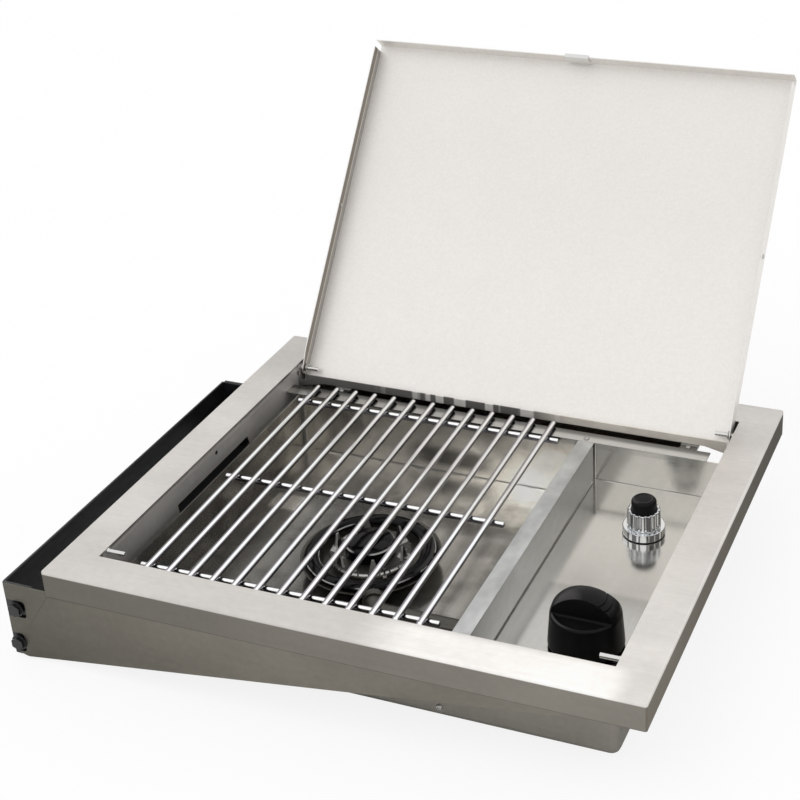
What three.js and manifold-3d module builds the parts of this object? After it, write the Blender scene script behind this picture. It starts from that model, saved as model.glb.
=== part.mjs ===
import * as THREE from "three";
import { mergeVertices } from "three/addons/utils/BufferGeometryUtils.js";
import Module from "manifold-3d";

const wasm = await Module();
wasm.setup();

// A built-in side burner with its lid open, in millimetres, +Z up.
// Places are given from the front left top corner of the frame: X runs along the front, Y to the back.
// The part's own origin is the middle of the end plate's outer face, which is bolted to the cabinet.

// Frame: a flat border round the opening, with a deep skirt outside and a short one inside
const frameWidth = 500;
const frameDepth = 430;
const frameBorder = 33;
const skirtDepth = 24.5;
const innerSkirtDepth = 7;
const cornerRelief = 5;
const cornerRadius = 2;
const bendRadius = 1.5;
const bodySheet = 1.2;
const seatGap = 0.2;
const overrun = 2;

const openLeft = frameBorder;
const openRight = frameWidth - frameBorder;
const openFront = frameBorder;
const openBack = frameDepth - frameBorder;

// Outer box, folded with round corners, hung behind the inner skirt
const boxDepth = 82;
const boxCornerRadius = 8;
const boxBottomRadius = 6;
const boxWallGap = 0.3;
const ventFront = 150;
const ventBackInset = 145;
const ventTop = -24.5;
const ventRaise = 22;
const ventSlant = 12;
const rearVentInset = 38;
const rearVentWidth = 37;
const rearVentTop = -30;
const wallHoleY = 219;
const wallHoleZ = -11;
const wallHoleRadius = 2;
const boxScrewX = 327;
const boxScrewRaise = 10;

const ventBack = frameDepth - ventBackInset;
const ventBottom = ventRaise - boxDepth;
const boxScrewZ = boxScrewRaise - boxDepth;
const rearVentRight = frameWidth - rearVentInset;
const rearVentLeft = rearVentRight - rearVentWidth;
const boxLeft = openLeft - bodySheet - boxWallGap - bodySheet;
const boxRight = openRight + bodySheet + boxWallGap + bodySheet;
const boxFront = openFront - bodySheet - boxWallGap - bodySheet;
const boxBack = openBack + bodySheet + boxWallGap + bodySheet;
const boxInLeft = boxLeft + bodySheet;
const boxInRight = boxRight - bodySheet;
const boxInFront = boxFront + bodySheet;
const boxInBack = boxBack - bodySheet;

// Ledges, rail and divider that carry the grill and close the gaps
const ledgeTop = -18;
const ledgeBend = 6;
const frontLedgeBack = 53;
const rearLedgeInset = 46.5;
const rearLedgeWidth = 15.5;
const rearLedgeShort = 19.5;
const tabWidth = 16;
const tabLength = 12.4;
const tabDrop = 2;
const leftTabX = 80;
const rightTabInset = 40;
const railInset = 21;
const railTop = -11;
const railBottom = -18.5;
const railStart = 39.5;
const railEndTop = -17.2;
const railEndBottom = -23;
const railEndLength = 20;
const dividerWidth = 15;
const panOpening = 122;
const dividerLegShort = 12;
const dividerTongue = 11;
const dividerScrewInset = 6;

const rearLedgeFront = openBack - rearLedgeInset;
const rearLedgeBack = rearLedgeFront + rearLedgeWidth;
const rearLedgeEnd = boxInRight - rearLedgeShort;
const rightTabX = openRight - rightTabInset;
const railFront = openBack - railInset;
const dividerRight = openRight - panOpening;
const dividerLeft = dividerRight - dividerWidth;
const dividerScrewX = dividerLeft + dividerScrewInset;

// Burner tray and control pan
const trayLeft = 44;
const trayTop = -20;
const trayRaise = 3;
const trayCornerRadius = 6;
const trayBottomRadius = 4;
const panRaise = 22;
const panCornerRadius = 4;
const panBottomRadius = 2.4;
const earLength = 28;

const trayFloor = trayRaise - boxDepth;
const panFloor = trayFloor + panRaise;
const trayRight = dividerLeft + bodySheet + seatGap + bodySheet;
const panLeft = dividerRight - bodySheet - seatGap - bodySheet;
const panRight = boxInRight - seatGap;
const underLedge = ledgeTop - bodySheet - seatGap;
const trayFront = frontLedgeBack - bodySheet - seatGap - bodySheet;
const trayBack = rearLedgeFront + bodySheet + seatGap + bodySheet;
const earTop = ledgeTop - tabDrop - bodySheet - seatGap;

// Lid, folded from thinner sheet, seen here in its own closed place round the hinge axis
const lidSheet = 1;
const lidSideGap = 3.5;
const lidFront = 41.5;
const lidTail = 11.5;
const lidFlange = 15;
const lidFlangeStart = 49;
const lugRadius = 6;
const hingeInset = 14.7;
const hingeZ = -6.8;
const hingeToPanel = 5.9;
const stopGap = 0.25;
const pinRadius = 2;
const pinClearance = 0.3;
const hingePinLength = 18;
const tongueWidth = 14;
const tongueDepth = 13;
const clipRadius = 4;
const clipThickness = 1;
const restPinY = 45.5;
const restPinZ = -3.2;
const restPinLength = 16;
const restWeldRadius = 2.8;
const collarRadius = 3.2;
const collarLength = 1.6;
const latchShift = 0.8;
const latchWidth = 24;
const latchReach = 9;
const latchSheet = 1.2;
const rivetInset = 166;
const rivetDrop = 9;
const rivetRadius = 2.6;
const rivetHead = 1.1;
const rivetShankRadius = 1.5;

const hingeY = openBack - hingeInset;
const latchLeft = frameWidth / 2 + latchShift - latchWidth / 2;
const lidLeft = openLeft + lidSideGap;
const lidRight = openRight - lidSideGap;
// The open lid leans on the frame's rear inner edge: the angle at which its outer face meets that edge
const edgeReach = Math.hypot(openBack - hingeY, hingeZ);
const edgeAngle = Math.atan2(-hingeZ, openBack - hingeY);
const lidOuterReach = hingeToPanel + lidSheet + stopGap;
const lidOpenAngle = Math.PI / 2 + Math.acos(lidOuterReach / edgeReach) - edgeAngle;

// Welded rod grill, lying a little turned on the ledges
const rodPitch = 20;
const rodRadius = 2.75;
const firstRodX = 62.5;
const lastRodGap = 25;
const rodFront = 46;
const rodBackInset = 30;
const weldBite = 0.1;
const crossOverhang = 12;
const crossFront = 60.5;
const crossBackInset = 52.4;
const grillTurn = THREE.MathUtils.degToRad(0.9);
const rodSides = 10;

const rodCount = Math.floor((dividerLeft - lastRodGap - firstRodX) / rodPitch) + 1;
const rodBack = openBack - rodBackInset;
const crossBack = openBack - crossBackInset;
const crossMiddle = (crossFront + crossBack) / 2;

// Burner, on the tray floor
const burnerShiftX = 6.7;
const burnerShiftY = -12.75;
const baseFoot = 26;
const dishRimRadius = 61.5;
const dishRimHeight = 15;
const dishWall = 1.8;
const flareRadius = 41;
const flareHeight = 4;
const outerWallRadius = 50.5;
const outerWall = 4;
const outerWallHeight = 14.2;
const hubRadius = 33;
const hubWall = 3;
const hubHeight = 12;
const portCount = 20;
const portWidth = 2.2;
const portDepth = 2.6;
const ringOuter = 57.5;
const ringInner = 43.5;
const ringRise = 4.8;
const ringLip = 1.6;
const spreaderOuter = 36.5;
const spreaderInner = 17;
const spreaderRise = 4.8;
const slotCount = 24;
const slotWidth = 1.3;
const slotDepth = 1.8;
const finCount = 6;
const finCircle = 31;
const finWidth = 8.5;
const finTipWidth = 2.4;
const finThickness = 2.4;
const finHeight = 12;
const capRadius = 22;
const capHeight = 10.6;
const capDome = 1.4;
const capPlug = 6;

const burnerX = (trayLeft + trayRight) / 2 + burnerShiftX;
const burnerY = (trayFront + trayBack) / 2 + burnerShiftY;

// Gas way: orifice, mixing tube, valve and inlet under the control pan
const tubeRadius = 8;
const tubeWall = 1;
const tubeHeight = 9;
const tubeEnd = 34;
const socketReach = 3;
const tubeBend = 12;
const tubeSteps = 5;
const tubeHoleGap = 0.6;
const bellRadius = 10.2;
const bellLength = 14;
const shutterWall = 0.9;
const shutterLength = 9;
const shutterSlot = 4.5;
const valveWidth = 20;
const valveTall = 18.6;
const valveDeep = 26;
const valveNose = 8;
const valveNoseLength = 6;
const plugRadius = 7;
const plugTall = 13;
const stemRadius = 4;
const stemFlat = 1.2;
const runningGap = 0.3;
const orificeRadius = 3.6;
const orificeLength = 15;
const orificeHex = 5;
const orificeBore = 0.6;
const pipeRadius = 4;
const pipeWall = 0.9;
const inletInsetX = 21;
const inletInsetY = 25;
const inletBend = 16;
const inletNut = 8.4;
const inletNutLength = 14;

const inletX = openRight - inletInsetX;
const inletY = openBack - inletInsetY;

// Knob
const knobInset = 52.6;
const knobPastRim = 6.5;
const knobFoot = 30.6;
const knobShoulder = 28.5;
const shoulderHeight = 26.4;
const knobHeight = 45.6;
const knobLift = 3.6;
const knobTravel = 3;
const ridgeDome = 34;
const ridgeEnd = 26.2;
const domeShares = [0.8, 0.6, 0.4, 0.2];
const ridgeHalf = 9.5;
const ridgeFoot = 12.5;
const scoopFloor = 27.4;
const scoopRadius = 24.6;
const lipRadius = 26.8;
const lipHeight = 28.6;
const grooveInner = 16.5;
const groovePitch = 4.6;
const grooveWidth = 1;
const grooveDepth = 0.9;
const boreDepth = 16.4;
const boreRadius = 4.2;
const knobHubRadius = 9;
const knobWall = 2.6;
const knobHollow = 24;

const knobX = openRight - knobInset;
const knobY = burnerY - dishRimRadius - knobPastRim;

// Igniter
const igniterInsetX = 54.7;
const igniterInsetY = 114;
const gasketRadius = 18.8;
const gasketThickness = 0.8;
const ringRadius = 18.6;
const ringHeight = 7.2;
const ringEdge = 0.7;
const collarFoot = 14.75;
const collarHead = 14.1;
const collarHeight = 15.9;
const collarLipHeight = 3;
const fluteCount = 16;
const fluteRadius = 1.9;
const igniterCapRadius = 11;
const igniterCapProud = 10.3;
const igniterCapDome = 2.4;
const igniterCapSkirt = 9;
const igniterTravel = 4;
const barrelRadius = 9;
const barrelBelow = 20;
const igniterNut = 15;
const igniterNutHeight = 5;
const terminalRadius = 2.2;
const terminalLength = 1.6;

const igniterX = openRight - igniterInsetX;
const igniterY = openBack - igniterInsetY;

// Spark electrode
const electrodeTurn = THREE.MathUtils.degToRad(-48);
const electrodeCircle = 41.6;
const ceramicRadius = 1.6;
const ceramicTop = 19;
const electrodeCollar = 2;
const wireRadius = 0.8;
const wireTop = 25;

// Side carriers: the sheared wedge arm in front, the arm at the rear and the end plate
const armSheet = 2;
const armLeft = -41.2;
const armTopLeft = -21.7;
const armBottomLeft = -93.9;
const armSlope = 0.136;
const armCorner = 13;
const armRightInset = 38;
const windowReach = 17.5;
const upperWindowTop = -37;
const upperWindowBottom = -53;
const lowerWindowTop = -70;
const lowerWindowBottom = -88;
const lowerWindowReach = 5.5;
const windowCorner = 3;
const plateSheet = 2;
const plateGap = 0.3;
const plateTop = -22;
const plateBottom = -93;
const plateFlange = 26;
const rearArmInset = 40;
const rearArmTop = -25.3;
const boltRadius = 3;
const boltHeadRadius = 6;
const boltHeadHeight = 3.6;
const boltTail = 9;
const nutRadius = 5.6;
const nutHeight = 4.4;

const armRight = frameWidth - armRightInset;
const rearArmY = openBack - rearArmInset;
const armFront = bodySheet + seatGap;
const armBack = armFront + armSheet;
const plateInner = armLeft - plateGap;
const plateOuter = plateInner - plateSheet;
const plateFront = armBack + plateGap;
const plateBack = rearArmY - plateGap;
const originY = (plateFront + plateBack) / 2;
const originZ = (plateTop + plateBottom) / 2;

// Screws
const screwHead = 2.8;
const screwHeadHeight = 1.5;
const screwShank = 1.5;
const screwTail = 5;
const fitGap = 0.25;

const halfTurn = Math.PI;
const quarterTurn = Math.PI / 2;
const fullTurn = Math.PI * 2;
const hexSides = 6;
const roundSides = 16;
const wideSides = 32;
const middleSides = 24;
const curveSteps = 4;

// Solids from geometries, and joins and cuts between them
function solidOf(geometry) {
  const bare = geometry.clone();
  bare.deleteAttribute("normal");
  bare.deleteAttribute("uv");
  const merged = mergeVertices(bare);
  const vertProperties = merged.attributes.position.array;
  const triVerts = new Uint32Array(merged.index.array);
  return new wasm.Manifold(new wasm.Mesh({ numProp: 3, vertProperties, triVerts }));
}

function join(...solids) {
  return solids.reduce((all, one) => all.add(one));
}

function cut(solid, ...tools) {
  return tools.reduce((rest, tool) => rest.subtract(tool), solid);
}

function block(x0, x1, y0, y1, z0, z1) {
  const box = new THREE.BoxGeometry(x1 - x0, y1 - y0, z1 - z0);
  box.translate((x0 + x1) / 2, (y0 + y1) / 2, (z0 + z1) / 2);
  return solidOf(box);
}

function rod(from, to, radius, sides = roundSides, endRadius = radius) {
  const start = new THREE.Vector3(...from);
  const end = new THREE.Vector3(...to);
  const along = end.clone().sub(start);
  const cylinder = new THREE.CylinderGeometry(endRadius, radius, along.length(), sides);
  const turn = new THREE.Quaternion().setFromUnitVectors(
    new THREE.Vector3(0, 1, 0),
    along.clone().normalize(),
  );
  cylinder.applyQuaternion(turn);
  cylinder.translate(...start.add(end).divideScalar(2));
  return solidOf(cylinder);
}

function pipe(from, to, outer, inner) {
  const along = new THREE.Vector3(...to).sub(new THREE.Vector3(...from)).setLength(overrun);
  const before = new THREE.Vector3(...from).sub(along);
  const after = new THREE.Vector3(...to).add(along);
  return cut(rod(from, to, outer), rod(before, after, inner));
}

function revolve(profile, sides = wideSides) {
  const points = profile.map(([radius, height]) => new THREE.Vector2(radius, height));
  points.push(points[0].clone());
  const turned = new THREE.LatheGeometry(points, sides);
  turned.rotateX(quarterTurn);
  return solidOf(dropFlatFaces(turned));
}

// A profile that starts on the axis leaves faces without area there
function dropFlatFaces(geometry) {
  const bare = geometry.clone();
  bare.deleteAttribute("normal");
  bare.deleteAttribute("uv");
  const merged = mergeVertices(bare);
  const index = merged.index.array;
  const kept = [];
  for (let i = 0; i < index.length; i += 3) {
    const [a, b, c] = index.subarray(i, i + 3);
    if (a !== b && b !== c && c !== a) kept.push(a, b, c);
  }
  merged.setIndex(kept);
  return merged;
}

// Outlines drawn across X, across Y or from above, and pushed out along the third axis
function pushedOut(shape, depth) {
  return new THREE.ExtrudeGeometry(shape, { depth, curveSegments: curveSteps, bevelEnabled: false });
}

function prism(shape, z0, z1) {
  const body = pushedOut(shape, z1 - z0);
  body.translate(0, 0, z0);
  return solidOf(body);
}

function prismAlongY(shape, y0, y1) {
  const body = pushedOut(shape, y1 - y0);
  body.rotateX(quarterTurn);
  body.translate(0, y1, 0);
  return solidOf(body);
}

function prismAlongX(shape, x0, x1) {
  const body = pushedOut(shape, x1 - x0);
  const toX = new THREE.Matrix4().makeBasis(
    new THREE.Vector3(0, 1, 0),
    new THREE.Vector3(0, 0, 1),
    new THREE.Vector3(1, 0, 0),
  );
  body.applyMatrix4(toX);
  body.translate(x0, 0, 0);
  return solidOf(body);
}

function outline(points) {
  return new THREE.Shape(points.map(([u, v]) => new THREE.Vector2(u, v)));
}

function roundRect(u0, u1, v0, v1, radius) {
  const shape = new THREE.Shape();
  shape.absarc(u1 - radius, v1 - radius, radius, 0, quarterTurn);
  shape.absarc(u0 + radius, v1 - radius, radius, quarterTurn, halfTurn);
  shape.absarc(u0 + radius, v0 + radius, radius, halfTurn, halfTurn + quarterTurn);
  shape.absarc(u1 - radius, v0 + radius, radius, halfTurn + quarterTurn, fullTurn);
  return shape;
}

// A block with round upright corners and round edges at both ends, a little taller than asked
function roundedGeometry(x0, x1, y0, y1, depth, corner, edge) {
  return new THREE.ExtrudeGeometry(roundRect(x0, x1, y0, y1, corner), {
    depth,
    curveSegments: 3,
    bevelThickness: edge,
    bevelSize: edge,
    bevelOffset: -edge,
    bevelSegments: 2,
  });
}

function roundBottomBlock(x0, x1, y0, y1, z0, z1, corner, bottom) {
  const body = roundedGeometry(x0, x1, y0, y1, z1 - z0, corner, bottom);
  body.translate(0, 0, z0 + bottom);
  const above = block(x0 - overrun, x1 + overrun, y0 - overrun, y1 + overrun, z1, z1 + z1 - z0);
  return cut(solidOf(body), above);
}

function roundTopBlock(x0, x1, y0, y1, z0, z1, corner, top) {
  const body = roundedGeometry(x0, x1, -y1, -y0, z1 - z0, corner, top);
  body.rotateX(halfTurn);
  body.translate(0, 0, z1 - top);
  const below = block(x0 - overrun, x1 + overrun, y0 - overrun, y1 + overrun, z0 - z1 + z0, z0);
  return cut(solidOf(body), below);
}

// A folded tub of even sheet, open at the top
function tub(x0, x1, y0, y1, z0, z1, corner, bottom) {
  const t = bodySheet;
  const outside = roundBottomBlock(x0, x1, y0, y1, z0, z1, corner, bottom);
  const inside = roundBottomBlock(
    x0 + t, x1 - t, y0 + t, y1 - t, z0 + t, z1 + overrun, corner - t, bottom - t,
  );
  return cut(outside, inside);
}

// Nodes, each with its own material
const finishes = {
  brushed: { color: 0xcbc6c0, roughness: 0.38, metalness: 1 },
  dark: { color: 0x8b877e, roughness: 0.42, metalness: 1 },
  bright: { color: 0xdcdcda, roughness: 0.2, metalness: 1 },
  panel: { color: 0xe4e1dc, roughness: 0.5, metalness: 0.9 },
  chrome: { color: 0xe8eaec, roughness: 0.08, metalness: 1 },
  zinc: { color: 0xb4babb, roughness: 0.45, metalness: 0.9 },
  cast: { color: 0x8d8f8e, roughness: 0.6, metalness: 0.8 },
  enamel: { color: 0x0d0d0e, roughness: 0.2, metalness: 0 },
  plastic: { color: 0x141414, roughness: 0.42, metalness: 0 },
  paint: { color: 0x17181a, roughness: 0.55, metalness: 0 },
  brass: { color: 0xb08d4c, roughness: 0.35, metalness: 1 },
  ceramic: { color: 0xe9e4d8, roughness: 0.4, metalness: 0 },
};

function node(name, solid, finish) {
  const { vertProperties, triVerts } = solid.getMesh();
  const geometry = new THREE.BufferGeometry();
  geometry.setAttribute("position", new THREE.BufferAttribute(vertProperties, 3));
  geometry.setIndex(new THREE.BufferAttribute(triVerts, 1));
  const flat = geometry.toNonIndexed();
  flat.computeVertexNormals();
  const mesh = new THREE.Mesh(flat, new THREE.MeshStandardMaterial(finishes[finish]));
  mesh.name = name;
  return mesh;
}

function topFrame() {
  const t = bodySheet;
  const outside = roundTopBlock(
    0, frameWidth, 0, frameDepth, -skirtDepth, 0, cornerRadius, bendRadius,
  );
  const inside = roundTopBlock(
    t, frameWidth - t, t, frameDepth - t, -skirtDepth - overrun, -t, cornerRadius - t, bendRadius - t,
  );
  const opening = block(openLeft, openRight, openFront, openBack, -skirtDepth, overrun);
  const r = cornerRelief;
  const low = -innerSkirtDepth;
  const high = -t / 2;
  const skirts = join(
    block(openLeft - t, openLeft, openFront + r, openBack - r, low, high),
    block(openRight, openRight + t, openFront + r, openBack - r, low, high),
    block(openLeft + r, openRight - r, openFront - t, openFront, low, high),
    block(openLeft + r, openRight - r, openBack, openBack + t, low, high),
  );
  const y0 = hingeY - tongueWidth / 2;
  const y1 = hingeY + tongueWidth / 2;
  const tongues = join(
    block(openLeft - t, openLeft, y0, y1, -tongueDepth, high),
    block(openRight, openRight + t, y0, y1, -tongueDepth, high),
  );
  const solid = join(cut(outside, inside, opening), skirts, tongues);
  return node("top_frame", solid, "brushed");
}

function outerBox() {
  const top = -bodySheet - seatGap;
  const body = tub(
    boxLeft, boxRight, boxFront, boxBack, -boxDepth, top, boxCornerRadius, boxBottomRadius,
  );
  const vent = prismAlongX(
    outline([
      [ventFront, ventTop],
      [ventFront + ventSlant / 2, ventBottom],
      [ventBack, ventBottom],
      [ventBack - ventSlant, ventTop],
    ]),
    boxLeft - overrun,
    boxInLeft + overrun,
  );
  const rearVent = block(
    rearVentLeft, rearVentRight, boxInBack - overrun, boxBack + overrun, ventBottom, rearVentTop,
  );
  const hole = rod(
    [boxLeft - overrun, wallHoleY, wallHoleZ],
    [boxInLeft + overrun, wallHoleY, wallHoleZ],
    wallHoleRadius,
  );
  const screwHole = rod(
    [boxScrewX, boxFront - overrun, boxScrewZ],
    [boxScrewX, boxInFront + overrun, boxScrewZ],
    screwShank + fitGap,
  );
  return node("outer_box", cut(body, vent, rearVent, hole, screwHole), "dark");
}

// A pan-head screw: the head sits on the point given, the shank runs along the direction
function screw(name, at, direction, finish) {
  const foot = new THREE.Vector3(...at);
  const along = new THREE.Vector3(...direction);
  const headTop = foot.clone().addScaledVector(along, -screwHeadHeight);
  const tip = foot.clone().addScaledVector(along, screwTail);
  const head = rod(foot, headTop, screwHead, roundSides, screwHead - screwHeadHeight / 2);
  const shank = rod(headTop.clone().lerp(foot, 1 / 2), tip, screwShank, roundSides / 2);
  const slotFrom = foot.clone().addScaledVector(along, -screwHeadHeight / 2);
  const recess = rod(slotFrom, headTop.clone().addScaledVector(along, -overrun), screwShank, hexSides);
  return node(name, cut(join(head, shank), recess), finish);
}

function frontLedge() {
  const t = bodySheet;
  const floor = roundRect(
    boxInLeft + seatGap, boxInRight - seatGap, boxInFront + seatGap, frontLedgeBack * 2,
    boxCornerRadius - t - seatGap,
  );
  const rest = block(
    boxLeft, boxRight, frontLedgeBack, frontLedgeBack * 3, ledgeTop - t - overrun, ledgeTop + overrun,
  );
  const shelf = cut(prism(floor, ledgeTop - t, ledgeTop), rest);
  return node("front_ledge", join(shelf, ...ledgeBends(frontLedgeBack - t, panRight)), "bright");
}

// The bent-down edge of a ledge, over the tray and over the pan
function ledgeBends(y0, panEnd) {
  const low = ledgeTop - ledgeBend;
  const high = ledgeTop - bodySheet / 2;
  return [
    [trayLeft + trayCornerRadius, trayRight - trayCornerRadius],
    [panLeft + panCornerRadius, panEnd - panCornerRadius],
  ].map(([x0, x1]) => block(x0, x1, y0, y0 + bodySheet, low, high));
}

// Place of the screws that hold the rear ledge's two tabs
function tabScrewY() {
  return rearLedgeBack + tabLength / 2;
}

function rearLedge() {
  const t = bodySheet;
  const shelf = block(
    boxInLeft + seatGap, rearLedgeEnd, rearLedgeFront, rearLedgeBack, ledgeTop - t, ledgeTop,
  );
  const parts = [shelf, ...ledgeBends(rearLedgeFront, rearLedgeEnd)];
  const holes = [screwHole(dividerScrewX, dividerScrewY(), ledgeTop)];
  for (const x of [leftTabX, rightTabX]) {
    const x0 = x - tabWidth / 2;
    const x1 = x + tabWidth / 2;
    parts.push(
      block(x0, x1, rearLedgeBack - t, rearLedgeBack, ledgeTop - tabDrop - t, ledgeTop - t / 2),
      block(
        x0, x1, rearLedgeBack - t / 2, rearLedgeBack + tabLength,
        ledgeTop - tabDrop - t, ledgeTop - tabDrop,
      ),
    );
    holes.push(screwHole(x, tabScrewY(), ledgeTop - tabDrop));
  }
  return node("rear_ledge", cut(join(...parts), ...holes), "bright");
}

function screwHole(x, y, z) {
  return rod([x, y, z + overrun], [x, y, z - screwTail - overrun], screwShank + fitGap, roundSides / 2);
}

function rearRail() {
  const t = bodySheet;
  const left = boxInLeft + seatGap;
  const right = boxInRight - seatGap;
  const end = frameWidth - railStart;
  const shape = outline([
    [left, railEndBottom],
    [railStart, railEndBottom],
    [railStart + railEndLength, railBottom],
    [end - railEndLength, railBottom],
    [end, railEndBottom],
    [right, railEndBottom],
    [right, railEndTop],
    [end, railEndTop],
    [end, railTop],
    [railStart, railTop],
    [railStart, railEndTop],
    [left, railEndTop],
  ]);
  return node("rear_rail", prismAlongY(shape, railFront, railFront + t), "bright");
}

function dividerScrewY() {
  return rearLedgeFront + dividerTongue / 2;
}

function divider() {
  const t = bodySheet;
  const front = frontLedgeBack + seatGap;
  const back = rearLedgeFront - seatGap;
  const tongueTop = ledgeTop - t - seatGap;
  const top = block(dividerLeft, dividerRight, front, back, ledgeTop - t, ledgeTop);
  const legFront = trayFront + trayCornerRadius;
  const legBack = trayBack - trayCornerRadius;
  const leftLeg = block(
    dividerLeft, dividerLeft + t, legFront, legBack, ledgeTop - dividerLegShort, ledgeTop - t / 2,
  );
  const rightLeg = block(
    dividerRight - t, dividerRight, legFront, legBack, panFloor + panBottomRadius, ledgeTop - t / 2,
  );
  const tongueLeft = trayRight + seatGap;
  const tongueRight = panLeft - seatGap;
  const riser = block(tongueLeft, tongueRight, back - t, back, tongueTop - t, ledgeTop - t / 2);
  const tongue = block(
    tongueLeft, tongueRight, back - t, rearLedgeFront + dividerTongue, tongueTop - t, tongueTop,
  );
  const hole = screwHole(dividerScrewX, dividerScrewY(), ledgeTop);
  return node("divider", cut(join(top, leftLeg, rightLeg, riser, tongue), hole), "zinc");
}

// An ear bent back under a tab of the rear ledge, with its screw hole
function ear(x, back) {
  const x0 = x - tabWidth / 2;
  const x1 = x + tabWidth / 2;
  const flat = block(x0, x1, back - bodySheet, back + earLength, earTop - bodySheet, earTop);
  return cut(flat, screwHole(x, tabScrewY(), earTop));
}

// The mixing tube leaves the burner base towards the front, bends, and runs straight to the valve
function tubeDirection() {
  return new THREE.Vector3(1, 0, 0);
}

function socketEnd() {
  return dishRimRadius + socketReach;
}

function socketTurn() {
  return Math.asin((knobY - burnerY) / (socketEnd() + tubeBend));
}

// A point on the socket's axis, at a distance from the burner's own axis
function onSocket(distance) {
  const turn = socketTurn();
  return new THREE.Vector3(
    burnerX + distance * Math.cos(turn), burnerY + distance * Math.sin(turn), trayFloor + tubeHeight,
  );
}

// A point on the straight run, which lies in line with the valve
function onTube(distance) {
  return new THREE.Vector3(burnerX + distance, knobY, trayFloor + tubeHeight);
}

function tubeStart() {
  return (socketEnd() + tubeBend) * Math.cos(socketTurn()) + tubeBend;
}

function tubeLength() {
  return knobX - burnerX - tubeEnd;
}

function burnerTray() {
  const body = tub(
    trayLeft, trayRight, trayFront, trayBack, trayFloor - bodySheet, underLedge,
    trayCornerRadius, trayBottomRadius,
  );
  const lowerLeft = block(
    trayLeft - overrun, trayLeft + bodySheet + seatGap, trayFront + trayCornerRadius,
    trayBack - trayCornerRadius, trayTop, overrun,
  );
  const tubeHole = rod(onTube(tubeStart()), onTube(tubeLength()), tubeRadius + tubeHoleGap);
  const wallOnly = block(
    trayRight - bodySheet - overrun, trayRight + overrun, trayFront, trayBack, trayFloor, 0,
  );
  const through = tubeHole.intersect(wallOnly);
  const solid = join(cut(body, lowerLeft, through), ear(leftTabX, trayBack));
  return node("burner_tray", solid, "bright");
}

function controlPan() {
  const body = tub(
    panLeft, panRight, trayFront, trayBack, panFloor - bodySheet, underLedge,
    panCornerRadius, panBottomRadius,
  );
  const stemHole = rod(
    [knobX, knobY, panFloor - overrun * 2],
    [knobX, knobY, panFloor + overrun],
    stemRadius + overrun,
  );
  const igniterHole = rod(
    [igniterX, igniterY, panFloor - overrun * 2],
    [igniterX, igniterY, panFloor + overrun],
    barrelRadius + fitGap,
  );
  const solid = join(cut(body, stemHole, igniterHole), ear(rightTabX, trayBack));
  return node("control_pan", solid, "bright");
}

// A hinge pin welded in a tongue of the frame; side is +1 on the left and -1 on the right
function hingePin(name, x, side) {
  const root = x + side * seatGap;
  const pin = rod([root, hingeY, hingeZ], [root + side * hingePinLength, hingeY, hingeZ], pinRadius);
  const shoulder = rod([root, hingeY, hingeZ], [root + side * collarLength, hingeY, hingeZ], collarRadius);
  return node(name, join(pin, shoulder), "bright");
}

function hingeClip(name, x, side) {
  const start = x + side * (lidSideGap + lidSheet + clipThickness);
  const from = [start, hingeY, hingeZ];
  const to = [start + side * clipThickness, hingeY, hingeZ];
  return node(name, pipe(from, to, clipRadius, pinRadius + fitGap / 2), "dark");
}

function restPin(name, x, side) {
  const root = x + side * seatGap;
  const pin = rod([root, restPinY, restPinZ], [root + side * restPinLength, restPinY, restPinZ], pinRadius);
  const weld = rod(
    [root, restPinY, restPinZ], [root + side * collarLength, restPinY, restPinZ],
    restWeldRadius, roundSides, pinRadius,
  );
  return node(name, join(pin, weld), "bright");
}

// One side flange of the lid: straight along the edge, round about the hinge pin
function lidSideFlange(x0) {
  const start = lidFlangeStart - hingeY;
  const bottom = hingeToPanel - lidFlange;
  const shape = new THREE.Shape();
  shape.moveTo(start, hingeToPanel + lidSheet / 2);
  shape.lineTo(start, bottom);
  shape.lineTo(-lugRadius * 3, bottom);
  shape.absarc(0, 0, lugRadius, halfTurn + quarterTurn, fullTurn);
  shape.lineTo(lugRadius, hingeToPanel + lidSheet / 2);
  const flange = prismAlongX(shape, x0, x0 + lidSheet);
  const hole = rod([x0 - overrun, 0, 0], [x0 + lidSheet + overrun, 0, 0], pinRadius + pinClearance);
  const rivetHole = rod(
    [x0 - overrun, -rivetInset, hingeToPanel - rivetDrop],
    [x0 + lidSheet + overrun, -rivetInset, hingeToPanel - rivetDrop],
    rivetShankRadius + fitGap,
    roundSides / 2,
  );
  return cut(flange, hole, rivetHole);
}

function lidShell() {
  const front = lidFront - hingeY;
  const panel = block(lidLeft, lidRight, front, lidTail, hingeToPanel, hingeToPanel + lidSheet);
  const frontFlange = block(
    lidLeft, lidRight, front, front + lidSheet,
    hingeToPanel + lidSheet - lidFlange, hingeToPanel + lidSheet / 2,
  );
  const left = lidSideFlange(lidLeft);
  const right = lidSideFlange(lidRight - lidSheet);
  return node("lid", join(panel, frontFlange, left, right), "panel");
}

// The finger pull: a small channel hooked over the edge of the lid's front flange
function lidLatch() {
  const front = lidFront - hingeY;
  const x0 = latchLeft;
  const x1 = latchLeft + latchWidth;
  const edge = hingeToPanel + lidSheet - lidFlange;
  const inner = front + lidSheet + seatGap;
  const leg = block(x0, x1, inner, inner + latchSheet, edge - seatGap - latchSheet, edge + latchReach);
  const bridge = block(
    x0, x1, front - seatGap - latchSheet, inner + latchSheet, edge - seatGap - latchSheet, edge - seatGap,
  );
  const lip = block(
    x0, x1, front - seatGap - latchSheet, front - seatGap,
    edge - seatGap - latchSheet, edge + latchReach / 2,
  );
  return node("lid_latch", join(leg, bridge, lip), "bright");
}

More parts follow.
